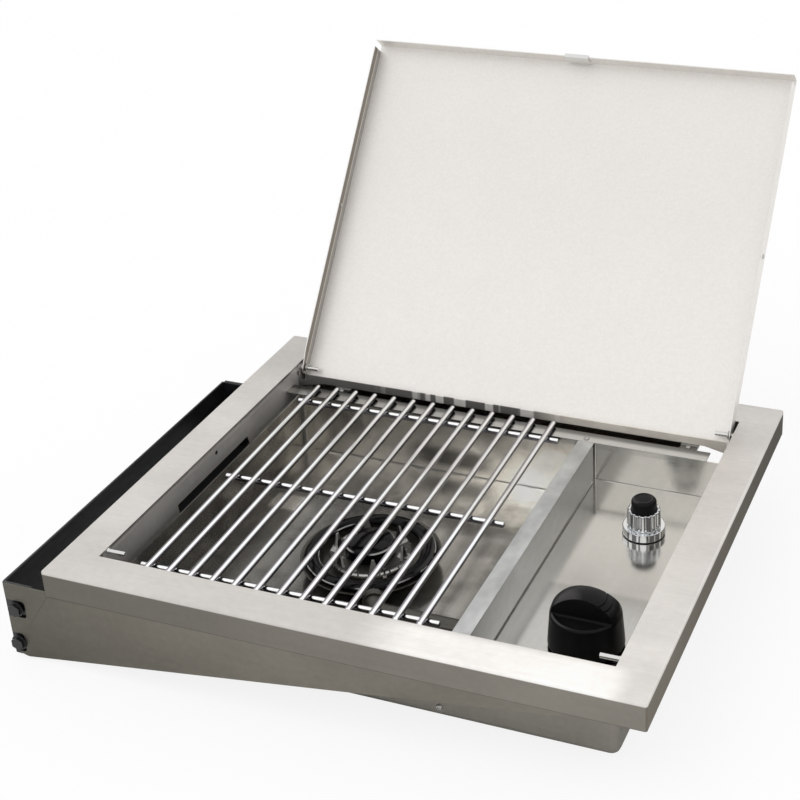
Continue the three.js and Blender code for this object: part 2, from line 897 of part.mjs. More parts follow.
// A rivet through a side flange; side is +1 where its outer head faces -X
function lidRivet(name, x, side) {
  const y = -rivetInset;
  const z = hingeToPanel - rivetDrop;
  const inner = x + side * (lidSheet + seatGap / 2);
  const outer = x - side * seatGap / 2;
  const solid = join(
    rod([inner, y, z], [inner + side * rivetHead, y, z], rivetRadius, roundSides / 2, rivetRadius / 2),
    rod([outer, y, z], [outer - side * rivetHead, y, z], rivetRadius, roundSides / 2, rivetRadius / 2),
    rod([outer, y, z], [inner, y, z], rivetShankRadius, roundSides / 2),
  );
  return node(name, solid, "dark");
}

function lidGroup() {
  const lid = new THREE.Group();
  lid.position.set(0, hingeY, hingeZ);
  lid.rotation.x = -lidOpenAngle;
  lid.add(
    lidShell(),
    lidLatch(),
    lidRivet("lid_rivet_left", lidLeft, 1),
    lidRivet("lid_rivet_right", lidRight, -1),
  );
  return lid;
}

// Grill round its own middle: long rods on top, three cross rods welded below them
function grill() {
  const span = (rodCount - 1) * rodPitch;
  const middleY = (rodFront + rodBack) / 2;
  const half = (rodBack - rodFront) / 2;
  const crossZ = 2 * -rodRadius + weldBite;
  const rods = [];
  for (let i = 0; i < rodCount; i += 1) {
    const x = i * rodPitch - span / 2;
    rods.push(rod([x, -half, 0], [x, half, 0], rodRadius, rodSides));
  }
  for (const y of [crossFront, crossMiddle, crossBack]) {
    const reach = span / 2 + crossOverhang;
    rods.push(rod([-reach, y - middleY, crossZ], [reach, y - middleY, crossZ], rodRadius, rodSides));
  }
  const mesh = node("grill", join(...rods), "chrome");
  mesh.position.set(firstRodX + span / 2, middleY, ledgeTop + rodRadius + fitGap);
  mesh.rotation.z = grillTurn;
  return mesh;
}

// Cutters set round the axis
function ringOf(count, make) {
  const cutters = [];
  for (let i = 0; i < count; i += 1) cutters.push(make((i * fullTurn) / count));
  return cutters;
}

function turnedBlock(angle, x0, x1, y0, y1, z0, z1) {
  const box = new THREE.BoxGeometry(x1 - x0, y1 - y0, z1 - z0);
  box.translate((x0 + x1) / 2, (y0 + y1) / 2, (z0 + z1) / 2);
  box.rotateZ(angle);
  return solidOf(box);
}

function dishFloor() {
  return flareHeight + dishWall * 2;
}

// Cast base: a flared dish with an outer port wall, a hub for the spreader and the tube's inlet
function burnerBase() {
  const hubInner = hubRadius - hubWall;
  const wallInner = outerWallRadius - outerWall;
  const dish = revolve([
    [0, seatGap],
    [baseFoot, seatGap],
    [flareRadius, flareHeight],
    [dishRimRadius, dishRimHeight],
    [dishRimRadius - dishWall, dishRimHeight],
    [outerWallRadius, dishRimHeight - (dishRimRadius - outerWallRadius) / 2],
    [outerWallRadius, outerWallHeight],
    [wallInner, outerWallHeight],
    [wallInner, dishFloor()],
    [hubRadius, dishFloor()],
    [hubRadius, hubHeight],
    [hubInner, hubHeight],
    [hubInner, seatGap + dishWall],
    [0, seatGap + dishWall],
  ]);
  const ports = ringOf(portCount, (angle) =>
    turnedBlock(
      angle, wallInner - overrun, outerWallRadius + overrun, -portWidth / 2, portWidth / 2,
      outerWallHeight - portDepth, outerWallHeight + overrun,
    ),
  );
  const turn = socketTurn();
  const dir = [Math.cos(turn), Math.sin(turn)];
  const at = (distance) => [dir[0] * distance, dir[1] * distance, tubeHeight];
  const socketRadius = tubeRadius + dishWall;
  const floorCut = turnedBlock(
    turn, 0, socketEnd() + overrun, -socketRadius * 2, socketRadius * 2, -socketRadius * 2, seatGap,
  );
  const roofCut = turnedBlock(
    turn, 0, ringOuter + runningGap, -socketRadius * 2, socketRadius * 2, hubHeight, socketRadius * 3,
  );
  const socket = cut(
    rod(at(hubRadius - hubWall / 2), at(socketEnd()), socketRadius), floorCut, roofCut,
  );
  const bore = rod(
    at(hubInner - overrun), at(socketEnd() + overrun), tubeRadius - tubeWall,
  );
  const boreTop = block(
    -dishRimRadius * 2, dishRimRadius * 2, -dishRimRadius * 2, dishRimRadius * 2,
    hubHeight - dishWall, socketRadius * 3,
  );
  const solid = cut(join(dish, socket), cut(bore, boreTop), ...ports);
  return node("burner_base", solid, "cast");
}

// Black enamelled ring that covers the outer ports
function burnerRing() {
  const seat = outerWallHeight + seatGap;
  const middle = (ringOuter + ringInner) / 2;
  const solid = revolve([
    [ringOuter, seat + ringLip],
    [ringOuter - ringLip, seat + ringRise - ringLip / 2],
    [middle, seat + ringRise],
    [ringInner + ringLip, seat + ringRise - ringLip / 2],
    [ringInner, seat + ringLip],
    [ringInner + ringLip, seat],
    [ringOuter - ringLip, seat],
  ]);
  return node("burner_ring", solid, "enamel");
}

function fin(angle) {
  const top = spreaderTop() + finHeight;
  const low = spreaderTop() - spreaderRise / 2;
  const shape = outline([
    [-finWidth / 2, low],
    [finWidth / 2, low],
    [finTipWidth / 2, top],
    [-finTipWidth / 2, top],
  ]);
  const body = pushedOut(shape, finThickness);
  const stand = new THREE.Matrix4().makeBasis(
    new THREE.Vector3(0, 1, 0),
    new THREE.Vector3(0, 0, 1),
    new THREE.Vector3(1, 0, 0),
  );
  body.applyMatrix4(stand);
  body.translate(finCircle - finThickness / 2, 0, 0);
  body.rotateZ(angle);
  return solidOf(body);
}

function spreaderTop() {
  return hubHeight + seatGap + spreaderRise;
}

// Cast flame spreader with fine slots and six upright fins
function spreader() {
  const low = hubHeight + seatGap;
  const body = revolve([
    [spreaderOuter - ringLip, low],
    [spreaderOuter, spreaderTop() - ringLip],
    [spreaderOuter - ringLip, spreaderTop()],
    [spreaderInner, spreaderTop()],
    [spreaderInner, low],
  ]);
  const slots = ringOf(slotCount, (angle) =>
    turnedBlock(
      angle + halfTurn / slotCount, finCircle + finThickness, spreaderOuter + overrun,
      -slotWidth / 2, slotWidth / 2, spreaderTop() - slotDepth, spreaderTop() + overrun,
    ),
  );
  const fins = ringOf(finCount, fin);
  return node("flame_spreader", join(cut(body, ...slots), ...fins), "cast");
}

function burnerCap() {
  const seat = spreaderTop() + seatGap;
  const plug = spreaderInner - runningGap;
  const solid = revolve([
    [0, seat + capHeight + capDome],
    [0, seat - capPlug],
    [plug, seat - capPlug],
    [plug, seat],
    [capRadius, seat],
    [capRadius, seat + capHeight - capDome],
    [capRadius - capDome, seat + capHeight],
    [capRadius / 2, seat + capHeight + capDome * 3 / 4],
  ]);
  return node("burner_cap", solid, "enamel");
}

function electrode() {
  const x = electrodeCircle * Math.cos(electrodeTurn);
  const y = electrodeCircle * Math.sin(electrodeTurn);
  const foot = hubHeight + seatGap;
  const solid = join(
    rod([x, y, foot], [x, y, ceramicTop], ceramicRadius, roundSides / 2),
    rod([x, y, foot], [x, y, foot + electrodeCollar], ceramicRadius * 3 / 2, hexSides),
    rod([x, y, ceramicTop - overrun], [x, y, wireTop], wireRadius, hexSides),
  );
  return node("spark_electrode", solid, "ceramic");
}

function burnerGroup() {
  const burner = new THREE.Group();
  burner.position.set(burnerX, burnerY, trayFloor);
  burner.add(burnerBase(), burnerRing(), spreader(), burnerCap(), electrode());
  return burner;
}

// A round bar along the mixing tube's axis, lengthened at both ends by the same amount
function alongTube(radius, longer) {
  const start = socketEnd() + seatGap;
  const path = new THREE.QuadraticBezierCurve3(
    onSocket(start), onSocket(socketEnd() + tubeBend), onTube(tubeStart()),
  );
  const circle = new THREE.Shape();
  circle.absarc(0, 0, radius, 0, fullTurn);
  const bend = new THREE.ExtrudeGeometry(circle, {
    steps: tubeSteps,
    curveSegments: roundSides / 2,
    bevelEnabled: false,
    extrudePath: path,
  });
  return join(
    rod(onSocket(start - longer), onSocket(start + weldBite), radius),
    solidOf(bend),
    rod(onTube(tubeStart() - weldBite), onTube(tubeLength() + longer), radius),
  );
}

// Mixing tube from the base's socket to the bell that faces the valve's orifice
function mixingTube() {
  const end = tubeLength();
  const bell = rod(onTube(end - bellLength), onTube(end), tubeRadius, roundSides, bellRadius);
  const bore = alongTube(tubeRadius - tubeWall, overrun);
  return node("mixing_tube", cut(join(alongTube(tubeRadius, 0), bell), bore), "cast");
}

function airShutter() {
  const end = tubeLength() + seatGap;
  const ring = pipe(onTube(end), onTube(end + shutterLength), bellRadius, bellRadius - shutterWall);
  const middle = onTube(end + shutterLength / 2);
  const high = middle.clone().setZ(middle.z + bellRadius + overrun);
  const low = middle.clone().setZ(middle.z - bellRadius - overrun);
  const slot = rod(low, high, shutterSlot / 2, roundSides / 2);
  return node("air_shutter", cut(ring, slot), "zinc");
}

// Valve under the pan, with a plug that turns with the stem
function valveTop() {
  return panFloor - bodySheet - seatGap;
}

function valveBody() {
  const top = valveTop();
  const bottom = top - valveTall;
  const box = new THREE.BoxGeometry(valveDeep, valveWidth, valveTall);
  box.translate(knobX, knobY, (top + bottom) / 2);
  const axis = tubeDirection();
  const centre = new THREE.Vector3(knobX, knobY, trayFloor + tubeHeight);
  const face = centre.clone().addScaledVector(axis, -valveDeep / 2);
  const nose = rod(
    centre.clone().addScaledVector(axis, -plugRadius - runningGap - overrun / 2),
    face.clone().addScaledVector(axis, -valveNoseLength),
    valveNose,
    hexSides,
  );
  const plugBore = rod(
    [knobX, knobY, bottom + overrun], [knobX, knobY, bottom + overrun + plugTall + runningGap * 2],
    plugRadius + runningGap, wideSides,
  );
  const stemBore = rod(
    [knobX, knobY, bottom + overrun], [knobX, knobY, top + overrun], stemRadius + runningGap,
  );
  const inletHole = rod(
    [knobX, knobY, centre.z], [inletX - inletBend, knobY, centre.z], pipeRadius - pipeWall,
  );
  const noseHole = rod(
    face.clone().addScaledVector(axis, -valveNoseLength - overrun), centre, orificeRadius + seatGap / 2,
  );
  const upper = block(
    knobX - valveDeep * 2, knobX + valveDeep * 2, knobY - valveDeep * 2, knobY + valveDeep * 2,
    top, top + valveTall,
  );
  const solid = cut(join(solidOf(box), nose), plugBore, stemBore, inletHole, noseHole, upper);
  return node("valve_body", solid, "brass");
}

function orifice() {
  const axis = tubeDirection();
  const start = new THREE.Vector3(knobX, knobY, trayFloor + tubeHeight).addScaledVector(
    axis, -valveDeep / 2 - valveNoseLength + overrun,
  );
  const end = start.clone().addScaledVector(axis, -orificeLength);
  const hexFrom = start.clone().addScaledVector(axis, -overrun - seatGap);
  const hexTo = hexFrom.clone().addScaledVector(axis, -orificeLength / 3);
  const body = join(
    rod(start, end, orificeRadius, roundSides, orificeRadius * 2 / 3),
    rod(hexFrom, hexTo, orificeHex, hexSides),
  );
  const bore = rod(
    start.clone().addScaledVector(axis, overrun), end.clone().addScaledVector(axis, -overrun),
    orificeBore, hexSides,
  );
  return node("orifice", cut(body, bore), "brass");
}

function valveStem() {
  const bottom = valveTop() - valveTall + overrun + runningGap;
  const plug = rod([knobX, knobY, bottom], [knobX, knobY, bottom + plugTall], plugRadius, wideSides);
  const top = knobBottom() + boreDepth - knobTravel - runningGap;
  const stem = rod([knobX, knobY, bottom], [knobX, knobY, top], stemRadius);
  const flat = block(
    knobX + stemRadius - stemFlat, knobX + stemRadius * 2, knobY - stemRadius, knobY + stemRadius,
    knobBottom() - knobTravel - runningGap, top + overrun,
  );
  return node("valve_stem", join(plug, cut(stem, flat)), "bright");
}

// Supply pipe from the valve towards the rear, ending in a flare nut
function gasPipe() {
  const z = trayFloor + tubeHeight;
  const start = knobX + valveDeep / 2 + seatGap;
  const path = new THREE.CurvePath();
  const bend = inletBend;
  path.add(
    new THREE.LineCurve3(
      new THREE.Vector3(start, knobY, z), new THREE.Vector3(inletX - bend, knobY, z),
    ),
  );
  path.add(
    new THREE.QuadraticBezierCurve3(
      new THREE.Vector3(inletX - bend, knobY, z),
      new THREE.Vector3(inletX, knobY, z),
      new THREE.Vector3(inletX, knobY + bend, z),
    ),
  );
  path.add(
    new THREE.LineCurve3(
      new THREE.Vector3(inletX, knobY + bend, z), new THREE.Vector3(inletX, inletY, z),
    ),
  );
  const ring = new THREE.Shape();
  ring.absarc(0, 0, pipeRadius, 0, fullTurn);
  const hollow = new THREE.Path();
  hollow.absarc(0, 0, pipeRadius - pipeWall, 0, fullTurn);
  ring.holes.push(hollow);
  const pipeSteps = 16;
  const body = new THREE.ExtrudeGeometry(ring, {
    steps: pipeSteps,
    curveSegments: 3,
    bevelEnabled: false,
    extrudePath: path,
  });
  return node("gas_pipe", solidOf(body), "brass");
}

function inletFitting() {
  const z = trayFloor + tubeHeight;
  const from = inletY - inletNutLength - seatGap;
  const nut = rod([inletX, from, z], [inletX, inletY - seatGap, z], inletNut, hexSides);
  const thread = rod([inletX, inletY - overrun, z], [inletX, inletY + inletNutLength / 2, z], inletNut * 3 / 4);
  const seat = rod(
    [inletX, from - overrun, z], [inletX, inletY + seatGap, z], pipeRadius + seatGap / 2,
  );
  const bore = rod(
    [inletX, from, z], [inletX, inletY + inletNutLength, z], pipeRadius - pipeWall,
  );
  return node("inlet_fitting", cut(join(nut, thread), seat, bore), "brass");
}

function knobBottom() {
  return panFloor + knobLift;
}

// Height of the knob's domed ridge at a distance from its axis
function domeHeight(radius) {
  return knobHeight - ridgeDome + Math.sqrt(ridgeDome ** 2 - radius ** 2);
}

// Knob: a round body with a domed ridge across it, and a scoop with a raised lip on either side
function knob() {
  const top = knobHeight + overrun;
  const dome = domeShares.map((share) => [ridgeEnd * share, domeHeight(ridgeEnd * share)]);
  const body = revolve([
    [0, 0],
    [knobFoot, 0],
    [knobShoulder, shoulderHeight],
    [ridgeEnd, domeHeight(ridgeEnd)],
    ...dome,
    [0, knobHeight],
  ]);
  const above = revolve([
    [0, scoopFloor],
    [scoopRadius, scoopFloor],
    [lipRadius, lipHeight],
    [knobShoulder, shoulderHeight],
    [knobFoot + overrun, shoulderHeight],
    [knobFoot + overrun, top],
    [0, top],
  ]);
  const half = knobFoot + overrun * 2;
  const ridge = prismAlongX(
    outline([
      [-ridgeFoot, 0],
      [ridgeFoot, 0],
      [ridgeFoot, scoopFloor],
      [ridgeHalf, knobHeight],
      [ridgeHalf, top + overrun],
      [-ridgeHalf, top + overrun],
      [-ridgeHalf, knobHeight],
      [-ridgeFoot, scoopFloor],
    ]),
    -half,
    half,
  );
  const scoops = cut(above, ridge);
  const grooves = [0, 1].map((i) => {
    const inner = grooveInner + i * groovePitch;
    const low = domeHeight(inner + grooveWidth / 2) - grooveDepth;
    const ring = pipe([0, 0, low], [0, 0, top], inner + grooveWidth, inner);
    const pointerHalf = block(grooveInner / 2, knobFoot, -knobFoot, knobFoot, 0, top + overrun);
    return ring.intersect(pointerHalf);
  });
  const hollow = cut(
    rod(
      [0, 0, -overrun], [0, 0, knobHollow], knobFoot - knobWall, wideSides, knobShoulder - knobWall,
    ),
    rod([0, 0, -overrun * 2], [0, 0, top], knobHubRadius),
  );
  const bore = rod([0, 0, -overrun], [0, 0, boreDepth], boreRadius);
  const flat = block(
    stemRadius - stemFlat + fitGap, boreRadius * 2, -boreRadius, boreRadius, -overrun * 2, boreDepth + overrun,
  );
  const mesh = node("knob", cut(body, scoops, ...grooves, hollow, cut(bore, flat)), "plastic");
  mesh.position.set(knobX, knobY, knobBottom());
  return mesh;
}

// Igniter: gasket, chrome ring, fluted collar and push cap above the pan; barrel and nut below
function igniterGasket() {
  const inner = barrelRadius + fitGap;
  return node(
    "igniter_gasket",
    pipe([0, 0, seatGap / 2], [0, 0, seatGap / 2 + gasketThickness], gasketRadius, inner),
    "plastic",
  );
}

function gasketTop() {
  return gasketThickness + seatGap;
}

function igniterRing() {
  const low = gasketTop();
  const high = low + ringHeight;
  const inner = barrelRadius + fitGap;
  const solid = revolve([
    [inner, low],
    [ringRadius, low],
    [ringRadius, high - ringEdge],
    [ringRadius - ringEdge, high],
    [inner, high],
  ], middleSides);
  return node("igniter_ring", solid, "chrome");
}

function igniterCollar() {
  const low = gasketTop() + ringHeight + seatGap / 2;
  const high = low + collarHeight;
  const bore = igniterCapRadius + fitGap;
  const body = revolve([
    [barrelRadius + fitGap, low],
    [collarFoot, low],
    [collarFoot, low + collarLipHeight / 3],
    [collarHead, high - collarLipHeight / 4],
    [collarHead - collarLipHeight / 4, high],
    [bore, high],
    [bore, high - igniterCapSkirt - igniterTravel],
    [barrelRadius + fitGap, high - igniterCapSkirt - igniterTravel],
  ], middleSides);
  const lean = collarFoot - collarHead;
  const flutes = ringOf(fluteCount, (angle) => {
    const foot = collarFoot + fluteRadius / 2;
    const c = Math.cos(angle);
    const s = Math.sin(angle);
    return rod(
      [foot * c, foot * s, low + collarLipHeight / 2],
      [(foot - lean) * c, (foot - lean) * s, high + overrun],
      fluteRadius,
      roundSides / 2,
    );
  });
  return node("igniter_collar", cut(body, ...flutes), "chrome");
}

function igniterCap() {
  const collarTop = gasketTop() + ringHeight + seatGap / 2 + collarHeight;
  const high = collarTop + igniterCapProud;
  const solid = revolve([
    [0, collarTop - igniterCapSkirt],
    [igniterCapRadius, collarTop - igniterCapSkirt],
    [igniterCapRadius, high - igniterCapDome],
    [igniterCapRadius - igniterCapDome / 3, high - igniterCapDome / 3],
    [igniterCapRadius - igniterCapDome, high],
    [0, high + igniterCapDome / 6],
  ], middleSides);
  return node("igniter_cap", solid, "plastic");
}

function igniterBarrel() {
  const collarTop = gasketTop() + ringHeight + seatGap / 2 + collarHeight;
  const high = collarTop - igniterCapSkirt - igniterTravel - seatGap;
  const low = -bodySheet - barrelBelow;
  const solid = join(
    rod([0, 0, low], [0, 0, high], barrelRadius),
    rod([-barrelRadius / 2, 0, low - terminalLength], [-barrelRadius / 2, 0, low + overrun], terminalRadius),
    rod([barrelRadius / 2, 0, low - terminalLength], [barrelRadius / 2, 0, low + overrun], terminalRadius),
  );
  return node("igniter_barrel", solid, "plastic");
}

function igniterNutRing() {
  const high = -bodySheet - seatGap;
  const outer = rod([0, 0, high - igniterNutHeight], [0, 0, high], igniterNut, hexSides);
  const hole = rod(
    [0, 0, high - igniterNutHeight - overrun], [0, 0, high + overrun], barrelRadius + fitGap / 2,
  );
  return node("igniter_nut", cut(outer, hole), "zinc");
}

function igniterGroup() {
  const igniter = new THREE.Group();
  igniter.position.set(igniterX, igniterY, panFloor);
  igniter.add(
    igniterGasket(), igniterRing(), igniterCollar(), igniterCap(), igniterBarrel(), igniterNutRing(),
  );
  return igniter;
}

function armLower(x) {
  return armBottomLeft + armSlope * (x - armLeft);
}

// Bolt slots that open at an arm's left edge
function armSlots(y0, y1) {
  const upper = roundRect(
    armLeft - windowReach, armLeft + windowReach, upperWindowBottom, upperWindowTop, windowCorner,
  );
  const lower = roundRect(
    armLeft - windowReach, armLeft + lowerWindowReach * 2, lowerWindowBottom, lowerWindowTop, windowCorner,
  );
  return [prismAlongY(upper, y0 - overrun, y1 + overrun), prismAlongY(lower, y0 - overrun, y1 + overrun)];
}

// The left end of an arm: its top edge, a notch under the skirt and the round lower corner
function armShape(right, rightTop, underSkirt) {
  const shape = new THREE.Shape();
  const corner = armLeft + armCorner;
  const notchLeft = -seatGap;
  const notchRight = bodySheet + seatGap + seatGap;
  shape.moveTo(armLeft, armTopLeft);
  shape.lineTo(armLeft, armLower(corner) + armCorner);
  shape.absarc(corner, armLower(corner) + armCorner, armCorner, halfTurn, halfTurn + quarterTurn);
  shape.lineTo(right, armLower(right));
  shape.lineTo(right, rightTop);
  if (rightTop > underSkirt) {
    shape.lineTo(notchRight, rightTop);
    shape.lineTo(notchRight, underSkirt);
  }
  shape.lineTo(notchLeft, underSkirt);
  shape.lineTo(notchLeft, armTopLeft);
  return shape;
}

function frontArm() {
  const underSkirt = -skirtDepth - seatGap;
  const shape = armShape(armRight, -bodySheet - seatGap, underSkirt);
  const solid = cut(prismAlongY(shape, armFront, armBack), ...armSlots(armFront, armBack));
  return node("front_arm", solid, "dark");
}

function rearArm() {
  const right = boxLeft - seatGap;
  const shape = armShape(right, rearArmTop, rearArmTop);
  const y1 = rearArmY + armSheet;
  const solid = cut(prismAlongY(shape, rearArmY, y1), ...armSlots(rearArmY, y1));
  return node("rear_arm", solid, "dark");
}

function upperBoltZ() {
  return (upperWindowTop + upperWindowBottom) / 2;
}

function lowerBoltZ() {
  return (lowerWindowTop + lowerWindowBottom) / 2;
}

function boltSpots() {
  return [
    ["upper", armLeft + windowReach / 2, upperBoltZ()],
    ["lower", armLeft + lowerWindowReach, lowerBoltZ()],
  ];
}

// Black end plate with a flange at each end that the arms are bolted to
function endPlate() {
  const wall = block(plateOuter, plateInner, plateFront, plateBack, plateBottom, plateTop);
  const right = plateInner + plateFlange;
  const front = block(plateOuter, right, plateFront, plateFront + plateSheet, plateBottom, plateTop);
  const back = block(plateOuter, right, plateBack - plateSheet, plateBack, plateBottom, plateTop);
  const corner = armCorner;
  const trims = [
    [plateFront - overrun, plateFront + plateSheet + overrun],
    [plateBack - plateSheet - overrun, plateBack + overrun],
  ].map(([y0, y1]) =>
    prismAlongY(
      outline([
        [right - corner, plateBottom - overrun],
        [right + overrun, plateBottom - overrun],
        [right + overrun, plateBottom + corner],
      ]),
      y0,
      y1,
    ),
  );
  const holes = boltSpots().map(([, x, z]) =>
    rod([x, plateFront - overrun, z], [x, plateBack + overrun, z], boltRadius + fitGap),
  );
  return node("end_plate", cut(join(wall, front, back), ...trims, ...holes), "paint");
}

// A hex bolt whose head clamps the arm from outside; facing is +1 in front and -1 at the rear
function armBolt(name, x, z, y, facing) {
  const face = y - facing * seatGap;
  const head = rod([x, face - facing * boltHeadHeight, z], [x, face, z], boltHeadRadius, hexSides);
  const washer = rod([x, face - facing * seatGap * 4, z], [x, face, z], boltHeadRadius + seatGap * 5);
  const shank = rod([x, face - facing * overrun / 2, z], [x, face + facing * boltTail, z], boltRadius);
  return node(name, join(head, washer, shank), "paint");
}

function armNut(name, x, z, y, facing) {
  const from = y + facing * seatGap;
  const body = rod([x, from, z], [x, from + facing * nutHeight, z], nutRadius, hexSides);
  const hole = rod(
    [x, from - facing * overrun, z], [x, from + facing * (nutHeight + overrun), z], boltRadius + fitGap / 2,
  );
  return node(name, cut(body, hole), "zinc");
}

function fixings() {
  const nodes = [];
  for (const [level, x, z] of boltSpots()) {
    nodes.push(
      armBolt(`front_bolt_${level}`, x, z, armFront, 1),
      armNut(`front_nut_${level}`, x, z, plateFront + plateSheet, 1),
      armBolt(`rear_bolt_${level}`, x, z, rearArmY + armSheet, -1),
      armNut(`rear_nut_${level}`, x, z, plateBack - plateSheet, -1),
    );
  }
  return nodes;
}

const sideBurner = new THREE.Group();
sideBurner.position.set(-plateOuter, -originY, -originZ);
sideBurner.add(
  topFrame(),
  outerBox(),
  frontLedge(),
  rearLedge(),
  rearRail(),
  divider(),
  burnerTray(),
  controlPan(),
  hingePin("hinge_pin_left", openLeft, 1),
  hingePin("hinge_pin_right", openRight, -1),
  hingeClip("hinge_clip_left", openLeft, 1),
  hingeClip("hinge_clip_right", openRight, -1),
  restPin("rest_pin_left", openLeft, 1),
  restPin("rest_pin_right", openRight, -1),
  lidGroup(),
  grill(),
  burnerGroup(),
  mixingTube(),
  airShutter(),
  valveBody(),
  orifice(),
  valveStem(),
  gasPipe(),
  inletFitting(),
  knob(),
  igniterGroup(),
  frontArm(),
  rearArm(),
  endPlate(),
  ...fixings(),
  screw("box_screw", [boxScrewX, boxFront - seatGap / 2, boxScrewZ], [0, 1, 0], "dark"),
  screw("ledge_screw_left", [leftTabX, tabScrewY(), ledgeTop - tabDrop + seatGap / 2], [0, 0, -1], "dark"),
  screw("ledge_screw_right", [rightTabX, tabScrewY(), ledgeTop - tabDrop + seatGap / 2], [0, 0, -1], "dark"),
  screw("divider_screw", [dividerScrewX, dividerScrewY(), ledgeTop + seatGap / 2], [0, 0, -1], "dark"),
);

const root = new THREE.Group();
root.add(sideBurner);

export default root;
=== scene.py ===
from math import cos, pi, radians, sin, sqrt, tau

import bmesh
import bpy
from mathutils import Euler, Matrix, Quaternion, Vector


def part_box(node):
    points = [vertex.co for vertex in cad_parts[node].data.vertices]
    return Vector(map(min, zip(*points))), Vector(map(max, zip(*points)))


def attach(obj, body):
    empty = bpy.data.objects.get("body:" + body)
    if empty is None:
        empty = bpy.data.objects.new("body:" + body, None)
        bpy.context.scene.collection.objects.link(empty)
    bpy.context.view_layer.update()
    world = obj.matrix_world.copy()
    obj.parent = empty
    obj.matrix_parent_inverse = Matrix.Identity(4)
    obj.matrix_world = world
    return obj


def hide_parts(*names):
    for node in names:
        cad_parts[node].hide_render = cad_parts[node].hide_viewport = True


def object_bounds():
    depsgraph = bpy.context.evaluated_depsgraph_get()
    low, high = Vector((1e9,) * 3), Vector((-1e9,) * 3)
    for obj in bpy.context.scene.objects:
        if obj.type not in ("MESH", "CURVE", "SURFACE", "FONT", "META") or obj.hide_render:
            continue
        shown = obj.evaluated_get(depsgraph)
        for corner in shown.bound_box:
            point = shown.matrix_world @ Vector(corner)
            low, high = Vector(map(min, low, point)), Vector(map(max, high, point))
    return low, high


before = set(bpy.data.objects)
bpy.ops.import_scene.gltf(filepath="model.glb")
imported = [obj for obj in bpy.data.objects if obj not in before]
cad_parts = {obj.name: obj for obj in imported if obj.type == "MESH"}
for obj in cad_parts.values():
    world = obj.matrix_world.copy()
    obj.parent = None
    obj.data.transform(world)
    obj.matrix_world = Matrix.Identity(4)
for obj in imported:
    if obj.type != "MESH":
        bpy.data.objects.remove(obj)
cad_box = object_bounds()

bl_info = {
    "name": "Built-in Side Burner",
    "version": (1, 0, 0),
    "blender": (4, 5, 0),
    "location": "3D View > Sidebar > Side Burner",
    "description": "Dresses the side burner's solids with their finishes and finer pieces",
    "category": "Object",
}

# Sizes are written in millimetres, and mm turns them into metres
mm = 0.001

# What the groups of settings are called in the scene
setting_prefix = "side_burner_"

# Places are given from the front left top corner of the frame
frame_low, frame_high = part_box("top_frame")
frame_corner = Vector((frame_low.x, frame_low.y, frame_high.z))
frame_width = (frame_high.x - frame_low.x) / mm

# Ways that a surface can face
rightward = (1.0, 0.0, 0.0)
frontward = (0.0, -1.0, 0.0)
upward = (0.0, 0.0, 1.0)
rear_left_fold = (0.71, -0.71, 0.0)


def place(x, y, z):
    """A point in the part's frame, from its distances to the frame's corner."""
    return frame_corner + Vector((x, y, z)) * mm


def middle_of(node):
    low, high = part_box(node)
    return (low + high) / 2


def foot_and_height(node, centre):
    """Where a node stands on an upright axis, and its height in millimetres."""
    low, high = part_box(node)
    return Vector((centre.x, centre.y, low.z)), (high.z - low.z) / mm


def paint(text):
    """A colour written as six hexadecimal digits, as the linear values that shaders take."""
    parts = [int(text[i : i + 2], 16) / 255 for i in (0, 2, 4)]
    return tuple(p / 12.92 if p <= 0.04045 else ((p + 0.055) / 1.055) ** 2.4 for p in parts)


def look_of(group):
    """The settings of one group of pieces."""
    return getattr(bpy.context.scene, setting_prefix + group)


# Shader maths


def maths(operation, swapped=False):
    """A method that adds a Math node of this kind."""

    def work(self, other):
        first, second = (other, self) if swapped else (self, other)
        return self.shading.add("ShaderNodeMath", {"operation": operation}, {0: first, 1: second})

    return work


class Value:
    """A socket of a node tree, which Python's operators work on."""

    __add__ = __radd__ = maths("ADD")
    __sub__ = maths("SUBTRACT")
    __rsub__ = maths("SUBTRACT", swapped=True)
    __mul__ = maths("MULTIPLY")
    __truediv__ = maths("DIVIDE")
    above = maths("GREATER_THAN")
    below = maths("LESS_THAN")
    highest = maths("MAXIMUM")

    def __init__(self, shading, socket):
        self.shading = shading
        self.socket = socket

    def swing(self, amount):
        """Noise turned into an amount that swings round 0, to add to a middle value."""
        return (self - 0.5) * amount

    def between(self, low, high):
        """0 at low, 1 at high and a soft ramp between them."""
        return self.shading.add(
            "ShaderNodeMapRange",
            {"interpolation_type": "SMOOTHSTEP", "clamp": True},
            {"Value": self, "From Min": low, "From Max": high},
        )

    def within(self, start, full, fading, gone):
        """0 up to start, 1 from full to fading and 0 again from gone."""
        return self.between(start, full) * (1.0 - self.between(fading, gone))


